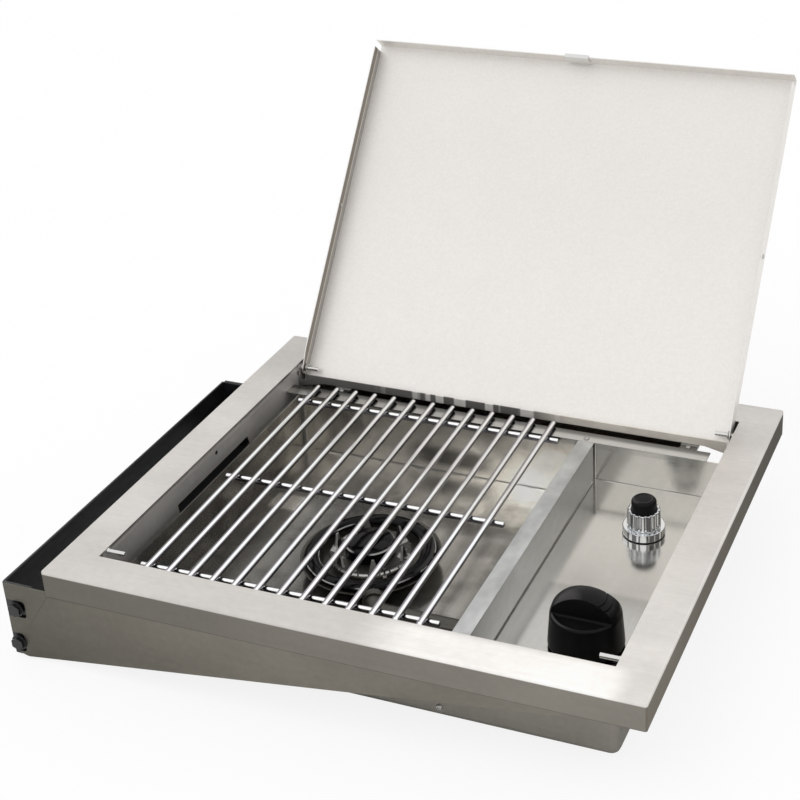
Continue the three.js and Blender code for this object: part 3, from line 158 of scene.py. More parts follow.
class Shading:
    """The node tree of a material or a world under construction, and its surface shader."""

    def __init__(self, owner, surface="Principled BSDF"):
        self.owner = owner
        owner.use_nodes = True
        self.tree = owner.node_tree
        self.surface = self.tree.nodes[surface]
        self.place = self.add("ShaderNodeTexCoord", output="Object")
        self.normal = self.add("ShaderNodeTexCoord", output="Normal")

    def add(self, kind, settings=None, inputs=None, output=0):
        """Adds a node with its settings first and its sockets' values or links after."""
        node = self.tree.nodes.new(kind)
        for key, value in (settings or {}).items():
            setattr(node, key, value)
        for key, value in (inputs or {}).items():
            self.plug(node, key, value)
        if isinstance(output, str):
            named = [o for o in node.outputs if output in (o.identifier, o.name)]
            return Value(self, named[0])
        return Value(self, node.outputs[output])

    def plug(self, node, key, value):
        if isinstance(key, int):
            socket = node.inputs[key]
        else:
            named = [s for s in node.inputs if s.identifier == key]
            named += [s for s in node.inputs if s.name == key and s.enabled]
            socket = named[0]
        if isinstance(value, Value):
            self.tree.links.new(value.socket, socket)
        elif socket.type == "RGBA" and len(value) == 3:
            socket.default_value = (*value, 1.0)
        else:
            socket.default_value = value

    def set(self, **sockets):
        """Sets or links the surface shader's sockets, written with _ for a space."""
        for key, value in sockets.items():
            self.plug(self.surface, key.replace("_", " "), value)

    def axis(self, name):
        return self.add("ShaderNodeSeparateXYZ", None, {0: self.place}, output=name)

    def run(self):
        """Millimetres to the right of the frame's corner."""
        return (self.axis("X") - frame_corner.x) / mm

    def back(self):
        """Millimetres behind the frame's corner."""
        return (self.axis("Y") - frame_corner.y) / mm

    def down(self):
        """Millimetres below the frame's top."""
        return (frame_corner.z - self.axis("Z")) / mm

    def turned(self, angles):
        """The place turned back by these angles, for grain that leans with a piece."""
        return self.add(
            "ShaderNodeVectorRotate",
            {"rotation_type": "EULER_XYZ", "invert": True},
            {"Vector": self.place, "Rotation": angles},
        )

    def spread(self, cell, shift, where):
        """A place measured in cells of one size, or of three for X, Y and Z."""
        sizes = cell if isinstance(cell, tuple) else (cell, cell, cell)
        scales = tuple(1 / (size * mm) for size in sizes)
        return self.add(
            "ShaderNodeVectorMath",
            {"operation": "MULTIPLY_ADD"},
            {0: where or self.place, 1: scales, 2: (shift, shift, shift)},
        )

    def noise(self, cell, detail=2, shift=0, where=None):
        """Cloudy noise from 0 to 1. Shift moves it away from other noise."""
        return self.add(
            "ShaderNodeTexNoise",
            {"noise_dimensions": "3D"},
            {
                "Vector": self.spread(cell, shift, where),
                "Scale": 1.0,
                "Detail": detail,
                "Roughness": 0.5,
            },
        )

    def cells(self, cell):
        """A mosaic, as the distance to the nearest of many scattered points."""
        spread = self.spread(cell, 0, None)
        return self.add("ShaderNodeTexVoronoi", {"feature": "F1"}, {"Vector": spread, "Scale": 1.0})

    def mix(self, first, second, share, blend="MIX"):
        return self.add(
            "ShaderNodeMix",
            {"data_type": "RGBA", "blend_type": blend},
            {"Factor_Float": share, "A_Color": first, "B_Color": second},
            output="Result_Color",
        )

    def scaled(self, colour, value):
        """A colour made lighter or darker by a value round 1."""
        grey = self.add("ShaderNodeCombineColor", None, {0: value, 1: value, 2: value})
        return self.mix(colour, grey, 1.0, "MULTIPLY")

    def _dot(self, vector, direction):
        return self.add(
            "ShaderNodeVectorMath",
            {"operation": "DOT_PRODUCT"},
            {0: vector, 1: direction},
            output="Value",
        )

    def along(self, direction):
        """How far a place lies along a direction, in millimetres."""
        return self._dot(self.place, direction) / mm

    def facing(self, direction):
        """How far a surface faces a direction: 1 straight at it, -1 straight away."""
        return self._dot(self.normal, direction)

    def worn(self):
        """1 along sharp outer edges and 0 on flat faces."""
        return self.add("ShaderNodeNewGeometry", output="Pointiness").between(0.52, 0.62)

    def bumped(self, height, distance, strength):
        return self.add(
            "ShaderNodeBump",
            None,
            {"Height": height, "Distance": distance * mm, "Strength": strength},
        )


# Finishes


def grain_cell(axis, length, width):
    """The size of a noise cell drawn out along one axis."""
    return tuple(length if each == axis else width for each in "XYZ")


def brushed(s, axis, roughness, cloud, streak=0.05, metallic=1.0, lean=None):
    """Sheet steel with fine grain, clouds, spots and scratches, and gives back its shade."""
    where = s.turned(lean) if lean else s.place
    fine = s.noise(grain_cell(axis, 50, 0.4), 2, 0, where)
    broad = s.noise(grain_cell(axis, 220, 3), 3, 7, where)
    clouds = s.noise(grain_cell(axis, 90, 50), 3, 3, where)
    spots = s.noise((6, 5, 5), 4, 11, where)
    scratch = s.noise(grain_cell(axis, 30, 1.2), 1, 19, where).between(0.71, 0.78)
    shade = (
        1.0
        + fine.swing(2 * streak)
        + broad.swing(2 * streak)
        + clouds.swing(2 * cloud)
        + spots.swing(0.9 * cloud)
        + scratch * 0.08
    )
    s.set(
        Metallic=metallic,
        Roughness=(roughness + fine.swing(0.16) + clouds.swing(0.14)).highest(0.05),
        Normal=s.bumped(fine + broad * 0.5, 0.02, 0.35),
    )
    return shade


def brushed_steel(s):
    """The frame: a top with painted light, lighter to the right and with a painted highlight along
    the front, and skirts painted darker as shade.
    """
    look = look_of("sheet")
    shade = brushed(s, "X", look.frame_roughness, 0.16)
    run, back, down = s.run(), s.back(), s.down()
    # Painted light: the top is painted lighter towards its right end and gets a painted highlight
    # along the front; it also darkens towards the rear
    top = s.mix(look.frame_colour, look.frame_right_light_colour, run.between(250, 470))
    painted_highlight = run.within(262, 320, 468, 486) * (1.0 - back.between(26, 36))
    top = s.mix(top, look.frame_highlight_colour, painted_highlight)
    top = s.scaled(top, 1.0 - back.between(300, 370) * 0.18)
    # Painted shade: the skirts are darker copies of the steel, darkest to the left on the front and
    # to the rear on the right
    front = s.scaled(look.skirt_shade_colour, 0.6 + run.between(-60, 420) * 0.42)
    side = s.scaled(look.side_skirt_shade_colour, 0.9 - back.between(-100, 460) * 0.56)
    right_end = run.above(frame_width - 1.2)
    skirts = s.mix(front, side, right_end)
    # Painted shadow along the skirt's lower edge, where it meets the box
    painted_gap_shadow = down.between(23.6, 24.1)
    skirts = s.scaled(skirts, 1.0 - painted_gap_shadow * 0.4)
    # Painted light: a lighter, less metallic copy of the steel on the left lip where it faces right
    painted_light_lip = s.facing(rightward).above(0.6) * run.above(25) * run.below(45)
    skirts = s.mix(skirts, look.lip_light_colour, painted_light_lip)
    skirt = down.between(2.2, 3.4)
    grain = s.noise(grain_cell("X", 50, 0.4))
    s.set(
        Base_Color=s.scaled(s.mix(top, skirts, skirt), shade),
        Metallic=1.0 - painted_light_lip * skirt * 0.6 - right_end * skirt * 0.85,
        Roughness=look.frame_roughness + grain.swing(0.2) + right_end * skirt * 0.55,
    )


def box_steel(s):
    look = look_of("sheet")
    shade = brushed(s, "X", 0.36, 0.24, 0.04)
    run = s.run()
    # Painted light: a lighter, less metallic copy of the steel on the left wall where it faces
    # right
    painted_light_lip = s.facing(rightward).above(0.6) * run.below(45)
    front = s.scaled(look.box_colour, 0.62 + run.between(-60, 420) * 0.42)
    colour = s.mix(front, look.lip_light_colour, painted_light_lip)
    s.set(Base_Color=s.scaled(colour, shade), Metallic=1.0 - painted_light_lip * 0.6)


def arm_steel(s):
    look = look_of("sheet")
    shade = brushed(s, "X", 0.4, 0.24)
    left = 1.0 - s.run().between(-30, 160)
    colour = s.mix(look.arm_colour, look.arm_end_colour, left)
    s.set(Base_Color=s.scaled(colour, shade))


def tray_steel(s):
    """Smoke-stained sheet with painted light: lighter to the right and the rear, painted shade in
    the rear left fold, a painted dark patch of shade on its rear wall and a painted glint on its
    floor.
    """
    shade = brushed(s, "Y", 0.2, 0.2, 0.04)
    run, back, down = s.run(), s.back(), s.down()
    # Painted light: lighter towards the right and the rear
    light = (0.68 + run.between(170, 280) * 0.62) * (0.8 + back.between(220, 330))
    # Painted shade in the rear left fold
    corner = s.facing(rear_left_fold).between(0.85, 0.95)
    smoke = s.noise((50, 35, 60), 4, 29).between(0.46, 0.68)
    shine = s.noise((30, 60, 50), 3, 37).between(0.58, 0.7)
    light = light * (1.0 - corner * 0.7) * (1.06 - smoke * 0.42 + shine * 0.4)
    # Painted shade: a dark patch on the rear wall
    painted_shade_patch = run.within(150, 180, 225, 255) * down.within(46, 58, 66, 77)
    light = light * (1.0 - painted_shade_patch * s.facing(frontward).above(0.7) * 0.75)
    # Painted glint: a lighter patch on the floor
    painted_glint = run.within(58, 62, 88, 94) * back.within(244, 250, 268, 274)
    light = light * (1.0 + painted_glint * s.facing(upward).above(0.9) * 1.5)
    s.set(Base_Color=s.scaled(look_of("sheet").tray_colour, shade * light), Metallic=0.85)


def pan_steel(s):
    """Bright sheet with painted shade where it is bent, and a painted darker reflection on the
    floor round the knob.
    """
    shade = brushed(s, "Y", 0.15, 0.1, 0.03)
    up = s.facing(upward)
    # Painted shade along the slanted faces where the sheet bends and in the rear left corner
    painted_fold_shade = up.within(0.2, 0.45, 0.8, 0.95)
    painted_fold_shade = painted_fold_shade.highest(s.facing(rear_left_fold).between(0.85, 0.95))
    # Painted reflection: the floor in front of the knob is painted darker
    near = (1.0 - s.back().between(185, 193)) * s.run().between(355, 363) * up.above(0.9)
    shade = shade * (1.0 - painted_fold_shade * 0.8) * (1.0 - near * 0.24)
    s.set(Base_Color=s.scaled(look_of("sheet").pan_colour, shade))


def ledge_steel(s):
    shade = brushed(s, "X", 0.24, 0.16, 0.07)
    # Painted shadow of the lid along the ledge's back; the ledge also lightens towards the right
    painted_lid_shadow = s.back().between(356, 362) * 0.65
    light = (0.72 + s.run().between(100, 400) * 0.4) * (1.0 - painted_lid_shadow)
    s.set(Base_Color=s.scaled(look_of("sheet").ledge_colour, shade * light))


def rail_steel(s):
    """The rail behind the ledge: duller sheet that shows blocks of light and shade."""
    shade = brushed(s, "X", 0.45, 0.1)
    run = s.run()
    # Painted light and shade: the left part is dark with pale blocks and the right part is pale
    blocks = s.noise((17, 5000, 5000), 1, 31).between(0.5, 0.53)
    left = s.mix(paint("6b6a67"), paint("dedbd6"), blocks * run.between(100, 180))
    right = s.mix(paint("fbf6ec"), paint("c9c0b4"), s.noise((30, 100, 20), 3, 13))
    colour = s.mix(left, right, run.between(260, 320))
    s.set(Base_Color=s.scaled(colour, shade), Metallic=0.2)


def lid_steel(s):
    """The lid: a pale panel painted lighter towards the bottom, and a left flange painted with
    light and shade: a darker band, a bright highlight line and a dark edge at its bend into the
    panel.
    """
    look = look_of("sheet")
    tilt = radians(39)
    lean = Euler((tilt, 0.0, 0.0))
    shade = brushed(s, "Z", 0.5, 0.035, metallic=0.9, lean=lean)
    speck = s.noise((1.4, 1.4, 2.2), 3, 23, s.turned(lean))
    # Painted light: the panel lightens towards the bottom
    low = 1.0 - (s.axis("Z") / mm).between(60, 240)
    lid_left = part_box("lid")[0].x
    flange = s.facing(rightward).above(0.6) * s.axis("X").below(lid_left + 3 * mm)
    lid_face = 132.1
    out = s.along((0.0, -cos(tilt), sin(tilt))) + lid_face
    # Painted light and shade on the left flange: a darker band, a bright highlight line and a dark
    # edge at its bend into the panel
    colours = s.mix(look.flange_shade_colour, paint("a9a6a1"), 1.0 - out.between(8.6, 9.0))
    colours = s.mix(colours, paint("d6d1ca"), out.within(7.2, 7.6, 8.8, 9.2))
    colours = s.mix(colours, paint("77736e"), 1.0 - out.between(1.2, 2.2))
    panel = s.scaled(look.lid_colour, 1.0 + low * 0.06)
    colour = s.mix(panel, colours, flange)
    s.set(Base_Color=s.scaled(colour, shade + speck.swing(0.09)))


def bright_steel(s):
    shade = brushed(s, "X", 0.2, 0.08, 0.04)
    s.set(Base_Color=s.scaled(paint("dcdcda"), shade))


def screw_steel(s):
    shade = brushed(s, "Z", 0.3, 0.14, 0.06)
    s.set(Base_Color=s.scaled(paint("b9b8b4"), shade))


def zinc(s):
    """Galvanised sheet: a mosaic of grey spangles with a dull bloom."""
    warp = s.noise(6, 3)
    spangle = s.cells((7, 10, 7))
    bloom = s.noise((30, 50, 30), 4, 5)
    grain = s.noise(grain_cell("Y", 20, 0.6), 2, 2)
    tones = s.noise((20, 45, 20), 2, 15)
    shade = 0.86 + spangle * 0.16 + warp.swing(0.14) + bloom.swing(0.24) + grain.swing(0.1)
    shade = shade * (1.0 + tones.swing(0.9) * s.facing(upward).above(0.9))
    s.set(
        Base_Color=s.scaled(look_of("sheet").zinc_colour, shade),
        Metallic=0.92,
        Roughness=0.36 + bloom.swing(0.3) + spangle.swing(0.1),
        Normal=s.bumped(spangle + grain, 0.03, 0.4),
    )


def rod_chrome(s):
    """Polished rods with painted light: bright on top, a painted reflection at the flanks and
    painted shade below.
    """
    look = look_of("grill")
    drawn = s.noise(grain_cell("Y", 50, 0.4))
    patch = s.noise((20, 50, 20), 3, 4)
    specks = s.noise(1.2, 2, 9).between(0.72, 0.8)
    shade = 1.0 + drawn.swing(0.12) + patch.swing(0.14) - specks * 0.2
    # Painted light by the way each face turns: the bright colour on top, a darker painted
    # reflection on the flanks and painted shade underneath
    up = s.facing((0.44, -0.5, 0.9))
    colour = s.mix(look.underside_shade_colour, look.flank_reflection_colour, up.between(0.1, 0.42))
    colour = s.mix(colour, look.colour, up.between(0.88, 0.97))
    s.set(
        Base_Color=s.scaled(colour, shade),
        Metallic=1.0,
        Roughness=0.09 + patch.swing(0.06) + specks * 0.2,
        Normal=s.bumped(drawn, 0.01, 0.3),
    )


def trim_chrome(s):
    """Mirror plating with a painted reflection of light and dark surroundings, laid out by the way
    it faces.
    """
    haze = s.noise(6, 4)
    specks = s.noise(0.8, 2, 9).between(0.7, 0.8)
    # Painted reflection of light and dark surroundings, by the way the surface faces
    painted_room_reflection = s.noise((220, 220, 300), 1, 3, s.normal).between(0.5, 0.56)
    colour = s.mix(paint("f2f4f6"), paint("4c4c52"), painted_room_reflection * 0.85)
    s.set(
        Base_Color=s.scaled(colour, 1.0 + haze.swing(0.08) - specks * 0.15),
        Metallic=1.0,
        Roughness=0.06 + haze * 0.06 + specks * 0.2,
    )


def casting(s, colour, rubbed):
    """Sand-cast alloy with grain and pits, and painted highlights on the faces turned to the front
    and on a few patches.
    """
    sand = s.noise(0.7, 4)
    patch = s.noise(12, 3, 6)
    pits = s.cells(2.2).between(0.05, 0.3)
    # Painted highlights: the faces turned to the front and a few patches take the bright colour
    front = s.facing((0.45, -0.85, 0.25)).between(0.5, 0.85)
    front = front.highest(s.noise(11, 1, 17).between(0.6, 0.66) * 0.7)
    shade = 0.92 + sand.swing(0.4) + patch.swing(0.35)
    s.set(
        Base_Color=s.scaled(s.mix(colour, rubbed, front), shade),
        Metallic=0.85,
        Roughness=0.4 + sand.swing(0.3) + patch.swing(0.2),
        Normal=s.bumped(sand + pits * 0.6, 0.25, 0.6),
    )


def cast_alloy(s):
    look = look_of("burner")
    casting(s, look.cast_colour, look.spreader_highlight_colour)


def dull_casting(s):
    look = look_of("burner")
    casting(s, look.base_colour, look.base_colour)


def black_enamel(s):
    """Glossy fired enamel with slight orange peel, a little dust, edges lighter as wear and as a
    painted highlight, thin painted highlight lines on its shoulders and a painted reflection on the
    right of its top.
    """
    look = look_of("burner")
    peel = s.noise(1.6)
    flow = s.noise(15, 2, 3)
    dust = s.noise(0.6, 2, 8).between(0.68, 0.8)
    # Dust, and sharp edges painted lighter, both as wear and as a painted highlight
    colour = s.mix(look.enamel_colour, paint("3a3833"), dust * 0.25 + s.worn() * 0.5)
    # Painted highlights: thin pale lines on the rounded shoulders
    painted_rim_highlight = s.facing(upward).within(0.5, 0.62, 0.78, 0.88) * s.noise(20).between(0.46, 0.56)
    colour = s.mix(colour, paint("c4c4c1"), painted_rim_highlight)
    # Painted reflection: a grey patch on the right side of the top
    right = ((s.axis("X") - middle_of("burner_ring").x) / mm).between(0, 40)
    painted_sky_reflection = s.facing((0.3, 0.05, 0.95)).between(0.975, 0.995) * right
    s.set(
        Base_Color=s.mix(colour, paint("5d5c5a"), painted_sky_reflection * 0.6),
        Roughness=0.09 + flow.swing(0.08) + dust * 0.3,
        Specular_IOR_Level=0.12,
        Normal=s.bumped(peel, 0.08, 0.35),
    )


def black_plastic(s):
    """Moulded plastic: fine grain, faint dust, smoother edges and a painted highlight on faces
    turned up and to the front left.
    """
    grain = s.noise(0.5)
    patch = s.noise(10, 3, 5)
    dust = s.noise(0.9, 3, 2).between(0.6, 0.8)
    edge = s.worn()
    colour = s.mix(look_of("knob").colour, paint("34343a"), dust * 0.2 + edge * 0.25)
    # Painted highlight on faces turned up and to the front left
    painted_crest_highlight = s.facing((-0.4, -0.3, 0.87)).between(0.9, 0.99)
    s.set(
        Base_Color=s.mix(colour, paint("5b5859"), painted_crest_highlight * 0.35),
        Roughness=0.36 + patch.swing(0.16) + dust * 0.12 - edge * 0.08,
        Specular_IOR_Level=0.14,
        Normal=s.bumped(grain, 0.06, 0.35),
    )


def black_paint(s):
    """Powder coat on sheet steel: a fine pebble, rubbed lighter along its edges."""
    pebble = s.noise(1.2, 3)
    patch = s.noise((60, 80, 30), 3, 4)
    rub = s.noise(grain_cell("Y", 30, 4), 3, 8)
    wear = s.worn() * rub.between(0.45, 0.7) * 0.6 + (patch - 0.5).highest(0.0) * 0.2
    s.set(
        Base_Color=s.mix(look_of("sheet").paint_colour, paint("5a5c60"), wear),
        Roughness=0.36 + patch.swing(0.24),
        Normal=s.bumped(pebble, 0.12, 0.35),
    )


def brass(s):
    turned = s.noise(grain_cell("Y", 4, 0.5))
    tarnish = s.noise(8, 4, 3).between(0.42, 0.7)
    s.set(
        Base_Color=s.mix(paint("c19a55"), paint("7c6238"), tarnish * 0.6),
        Metallic=1.0,
        Roughness=0.3 + tarnish * 0.2 + turned.swing(0.15),
        Normal=s.bumped(turned, 0.03, 0.4),
    )


def ceramic(s):
    """A glazed insulator, with the bare metal of its wire above it."""
    insulator_top = 60.2
    speck = s.noise(1, 3).between(0.6, 0.75)
    wire = s.axis("Z").above(place(0, 0, -insulator_top).z)
    glaze = s.mix(paint("e6e0d2"), paint("9a9186"), speck * 0.3)
    s.set(
        Base_Color=s.mix(glaze, paint("8c8a86"), wire),
        Metallic=wire * 0.9,
        Roughness=0.28 + speck * 0.2,
    )


made_finishes = {}


def finish(make):
    """The material that a maker above makes, made when it is first asked for."""
    if make not in made_finishes:
        s = Shading(bpy.data.materials.new(make.__name__))
        make(s)
        made_finishes[make] = s.owner
    return made_finishes[make]


# Mesh making


def smoothing():
    """A node group that shades smooth up to an angle and drops the imported facet normals."""
    group = bpy.data.node_groups.get("smooth_by_angle")
    if group:
        return group
    group = bpy.data.node_groups.new("smooth_by_angle", "GeometryNodeTree")
    for way in ("INPUT", "OUTPUT"):
        group.interface.new_socket("Mesh", in_out=way, socket_type="NodeSocketGeometry")
    nodes, links = group.nodes, group.links
    start = nodes.new("NodeGroupInput")
    end = nodes.new("NodeGroupOutput")
    bare = nodes.new("GeometryNodeRemoveAttribute")
    bare.inputs["Name"].default_value = "custom_normal"
    faces = nodes.new("GeometryNodeSetShadeSmooth")
    edges = nodes.new("GeometryNodeSetShadeSmooth")
    edges.domain = "EDGE"
    edges.inputs["Shade Smooth"].default_value = False
    angle = nodes.new("GeometryNodeInputMeshEdgeAngle")
    sharp = nodes.new("FunctionNodeCompare")
    sharp.operation = "GREATER_THAN"
    sharp.inputs[1].default_value = radians(32)
    chain = [start, bare, faces, edges, end]
    for first, second in zip(chain, chain[1:]):
        links.new(first.outputs[0], second.inputs[0])
    links.new(angle.outputs[0], sharp.inputs[0])
    links.new(sharp.outputs[0], edges.inputs["Selection"])
    return group


def soften(thing, width):
    """Joins loose corners, rounds the edges a little and shades what is round smoothly."""
    weld = thing.modifiers.new("weld", "WELD")
    weld.merge_threshold = 0.02 * mm
    if width:
        bevel = thing.modifiers.new("edges", "BEVEL")
        bevel.width = width * mm
        bevel.segments = 2
        bevel.limit_method = "ANGLE"
        bevel.angle_limit = radians(35)
        bevel.use_clamp_overlap = False
        bevel.miter_outer = "MITER_ARC"
    smooth = thing.modifiers.new("smooth", "NODES")
    smooth.node_group = smoothing()
    weighted = thing.modifiers.new("flat_faces_lead", "WEIGHTED_NORMAL")
    weighted.keep_sharp = True


def dress(make, width, *names):
    """Gives CAD nodes their finish, and edges rounded this wide."""
    for name in names:
        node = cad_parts[name]
        node.data.materials.clear()
        node.data.materials.append(finish(make))
        soften(node, width)


def as_object(name, bm):
    """Turns built geometry into an object with its faces outward."""
    bmesh.ops.recalc_face_normals(bm, faces=bm.faces)
    mesh = bpy.data.meshes.new(name)
    bm.to_mesh(mesh)
    bm.free()
    thing = bpy.data.objects.new(name, mesh)
    bpy.context.scene.collection.objects.link(thing)
    return thing


def new_piece(name, bm, make, body, node, width=0.0):
    """Makes a piece that rides on its body and stands for its CAD node."""
    bmesh.ops.remove_doubles(bm, verts=bm.verts, dist=0.004 * mm)
    thing = as_object(name, bm)
    thing.data.materials.append(finish(make))
    soften(thing, width)
    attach(thing, body)
    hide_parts(node)


def skin(bm, rings, closed=False, capped=False):
    """Faces between neighbouring rings of corners, where a ring may be a single point."""
    following = rings[1:] + (rings[:1] if closed else [])
    for low, high in zip(rings, following):
        sides = max(len(low), len(high))
        for i in range(sides if sides > 1 else 0):
            j = i + 1
            corners = [low[i % len(low)], low[j % len(low)]]
            corners += [high[j % len(high)], high[i % len(high)]]
            bm.faces.new(list(dict.fromkeys(corners)))
    if capped:
        bm.faces.new(list(reversed(rings[0])))
        bm.faces.new(rings[-1])


def add_rings(bm, profile, sides, foot, turn, stretch=None):
    """Rings of corners at each radius and height of a profile, round an axis from foot."""
    rings = []
    for radius, height in profile:
        ring = []
        for i in range(1 if radius < 1e-6 else sides):
            a = tau * i / sides
            r = radius + (stretch(a, radius, height) if stretch else 0)
            spot = Vector((r * cos(a), r * sin(a), height))
            ring.append(bm.verts.new(foot + turn @ spot * mm))
        rings.append(ring)
    return rings


def lathe(profile, sides, foot, stretch=None):
    """Turns a closed profile of radius and height round an upright axis."""
    bm = bmesh.new()
    skin(bm, add_rings(bm, profile, sides, foot, Quaternion(), stretch), closed=True)
    return bm


def rounded(points, radius, steps=4):
    """A profile with rounded corners, where a point's third number is its own radius."""
    made = []
    count = len(points)
    for i, point in enumerate(points):
        here = Vector(point[:2])
        size = point[2] if len(point) > 2 else radius
        into = Vector(points[i - 1][:2]) - here
        out = Vector(points[(i + 1) % count][:2]) - here
        size = min(size, into.length * 0.45, out.length * 0.45)
        if size <= 0 or here.x == 0:
            made.append((here.x, here.y))
            continue
        first = here + into.normalized() * size
        last = here + out.normalized() * size
        for k in range(steps + 1):
            t = k / steps
            p = first * (1 - t) ** 2 + here * (2 * t * (1 - t)) + last * t**2
            made.append((p.x, p.y))
    return made


def add_rod(bm, start, end, radius, nose):
    """A round rod whose domed ends are as long as this share of its radius."""
    sides = 20
    steps = 4
    along = end - start
    levels = []
    for k in range(steps + 1):
        a = pi / 2 * k / steps
        levels.append((radius * sin(a), radius * nose * (1 - cos(a))))
    levels += [(r, along.length / mm - h) for r, h in reversed(levels)]
    skin(bm, add_rings(bm, levels, sides, start, along.to_track_quat("Z", "Y")))


def add_box(bm, low, high, turn):
    """A block between two corners, turned and moved."""
    made = bmesh.ops.create_cube(bm, size=1.0)["verts"]
    where = Matrix.Translation((low + high) / 2) @ Matrix.Diagonal((*(high - low), 1.0))
    bmesh.ops.transform(bm, matrix=turn @ where, verts=made)


def cut_from(bm, cutters):
    """Cuts closed solids out of a body with exact booleans and gives back the result."""
    body = as_object("cut_body", bm)
    helpers = [body]
    for i, cutter in enumerate(cutters):
        tool = as_object(f"cut_tool_{i}", cutter)
        helpers.append(tool)
        modifier = body.modifiers.new("cut", "BOOLEAN")
        modifier.operation = "DIFFERENCE"
        modifier.solver = "EXACT"
        modifier.object = tool
    graph = bpy.context.evaluated_depsgraph_get()
    result = bmesh.new()
    result.from_mesh(body.evaluated_get(graph).to_mesh())
    for thing in helpers:
        bpy.data.objects.remove(thing)
    return result


# Settings


def colour_setting(thing, text):
    name, about = thing.capitalize(), "Colour of " + thing
    return bpy.props.FloatVectorProperty(
        name=name, description=about, default=paint(text), subtype="COLOR", min=0.0, max=1.0
    )


def length_setting(name, description, millimetres):
    return bpy.props.FloatProperty(
        name=name, description=description, default=millimetres * mm, unit="LENGTH", min=0.0
    )


def share_setting(name, description, share):
    return bpy.props.FloatProperty(
        name=name, description=description, default=share, subtype="FACTOR", min=0.0, max=1.0
    )


def count_setting(name, description, count, fewest):
    return bpy.props.IntProperty(name=name, description=description, default=count, min=fewest)


class SheetSettings(bpy.types.PropertyGroup):
    frame_colour: colour_setting("the frame's flat top", "d3cfca")
    # Painted light: the lighter right end of the frame's top
    frame_right_light_colour: colour_setting("the frame's right end", "e0dcd7")
    # Painted highlight along the frame's front
    frame_highlight_colour: colour_setting("the frame's polished front", "fdfaf6")
    # Painted shade: the skirts' darker copies of the frame's steel
    skirt_shade_colour: colour_setting("the frame's bent-down skirt", "87837b")
    side_skirt_shade_colour: colour_setting("the right skirt", "7d766a")
    frame_roughness: share_setting("Frame roughness", "Roughness of the frame's top", 0.36)
    box_colour: colour_setting("the outer box", "8a867f")
    arm_colour: colour_setting("the side arms", "7f7b72")
    arm_end_colour: colour_setting("the arms near the bolts", "67645c")
    tray_colour: colour_setting("the burner tray", "b1aea8")
    pan_colour: colour_setting("the control pan", "d9d7d2")
    ledge_colour: colour_setting("the ledges", "c6c5c1")
    # Painted light: a lighter copy of the steel on the left lips
    lip_light_colour: colour_setting("the sheet below the left edge", "c9c6c2")
    # Painted shade: the darker band on the lid's left flange
    flange_shade_colour: colour_setting("the lid's left flange", "938d85")
    lid_colour: colour_setting("the lid's inside", "eae7e3")
    zinc_colour: colour_setting("the galvanised divider", "bfc0bf")
    paint_colour: colour_setting("the painted end plate", "121315")


class GrillSettings(bpy.types.PropertyGroup):
    # Painted light on the rods: the bright top colour, a painted reflection at the flanks and
    # painted shade underneath
    colour: colour_setting("the polished top of each rod", "fbfbfa")
    flank_reflection_colour: colour_setting("the duller flanks", "a09ea4")
    underside_shade_colour: colour_setting("the sooty undersides", "3c3b3d")
    rods: count_setting("Rods", "How many long rods", 13, 2)
    pitch: length_setting("Pitch", "From one long rod to the next", 20)
    diameter: length_setting("Diameter", "Thickness of each rod", 5.5)
    overhang: length_setting("Overhang", "How far cross rods reach past the outer rods", 12)
    turn: bpy.props.FloatProperty(
        name="Turn",
        description="How far the grill lies turned on its ledges",
        default=radians(0.9),
        unit="ROTATION",
    )


class BurnerSettings(bpy.types.PropertyGroup):
    enamel_colour: colour_setting("the burner's ring and cap", "080809")
    cast_colour: colour_setting("the cast spreader", "5b5a56")
    # Painted highlights on the spreader's front faces and a few patches
    spreader_highlight_colour: colour_setting("the spreader's rubbed faces", "f0efec")
    base_colour: colour_setting("the cast base and its tube", "6a6862")
    ring_radius: length_setting("Ring radius", "Outer radius of the black ring", 57.5)
    cap_radius: length_setting("Cap radius", "Radius of the middle cap", 22)
    fins: count_setting("Fins", "Upright fins round the cap", 6, 0)


class KnobSettings(bpy.types.PropertyGroup):
    colour: colour_setting("the moulded knob", "0c0c0d")
    radius: length_setting("Radius", "Radius of the knob's foot", 30.6)
    ridge: length_setting("Ridge", "Half the width of the finger ridge's top", 9.5)
    dome: length_setting("Dome", "Radius of the ridge's domed top", 34)


class IgniterSettings(bpy.types.PropertyGroup):
    flutes: count_setting("Flutes", "Flutes round the collar", 16, 3)
    flute_depth: length_setting("Flute depth", "How deep each flute is", 1.2)


class StageSettings(bpy.types.PropertyGroup):
    floor_gap: length_setting("Floor gap", "How far the floor lies below the part", 1.5)
    whiteness: share_setting("Floor whiteness", "How far the floor goes to plain white", 0.85)
    sky: share_setting("Sky", "Share of the light that comes from all round", 0.8)
    lamp: bpy.props.FloatProperty(
        name="Lamp", description="Strength of the soft lamp", default=0.75, min=0.0
    )


setting_groups = {"sheet": SheetSettings, "grill": GrillSettings, "burner": BurnerSettings}
setting_groups |= {"knob": KnobSettings, "igniter": IgniterSettings, "stage": StageSettings}


# Operators


class DressSheetMetal(bpy.types.Operator):
    """Finish the frame, box, arms, ledges, tray and pan."""

    bl_idname = "side_burner.dress_sheet_metal"
    bl_label = "Sheet Metal"

    def execute(self, context):
        dress(brushed_steel, 0.25, "top_frame")
        dress(box_steel, 0.3, "outer_box")
        dress(arm_steel, 0.5, "front_arm", "rear_arm")
        dress(tray_steel, 0, "burner_tray")
        dress(pan_steel, 0, "control_pan")
        dress(ledge_steel, 0.35, "front_ledge", "rear_ledge")
        dress(rail_steel, 0.25, "rear_rail")
        dress(zinc, 0.35, "divider")
        dress(black_paint, 0.6, "end_plate")
        return {"FINISHED"}


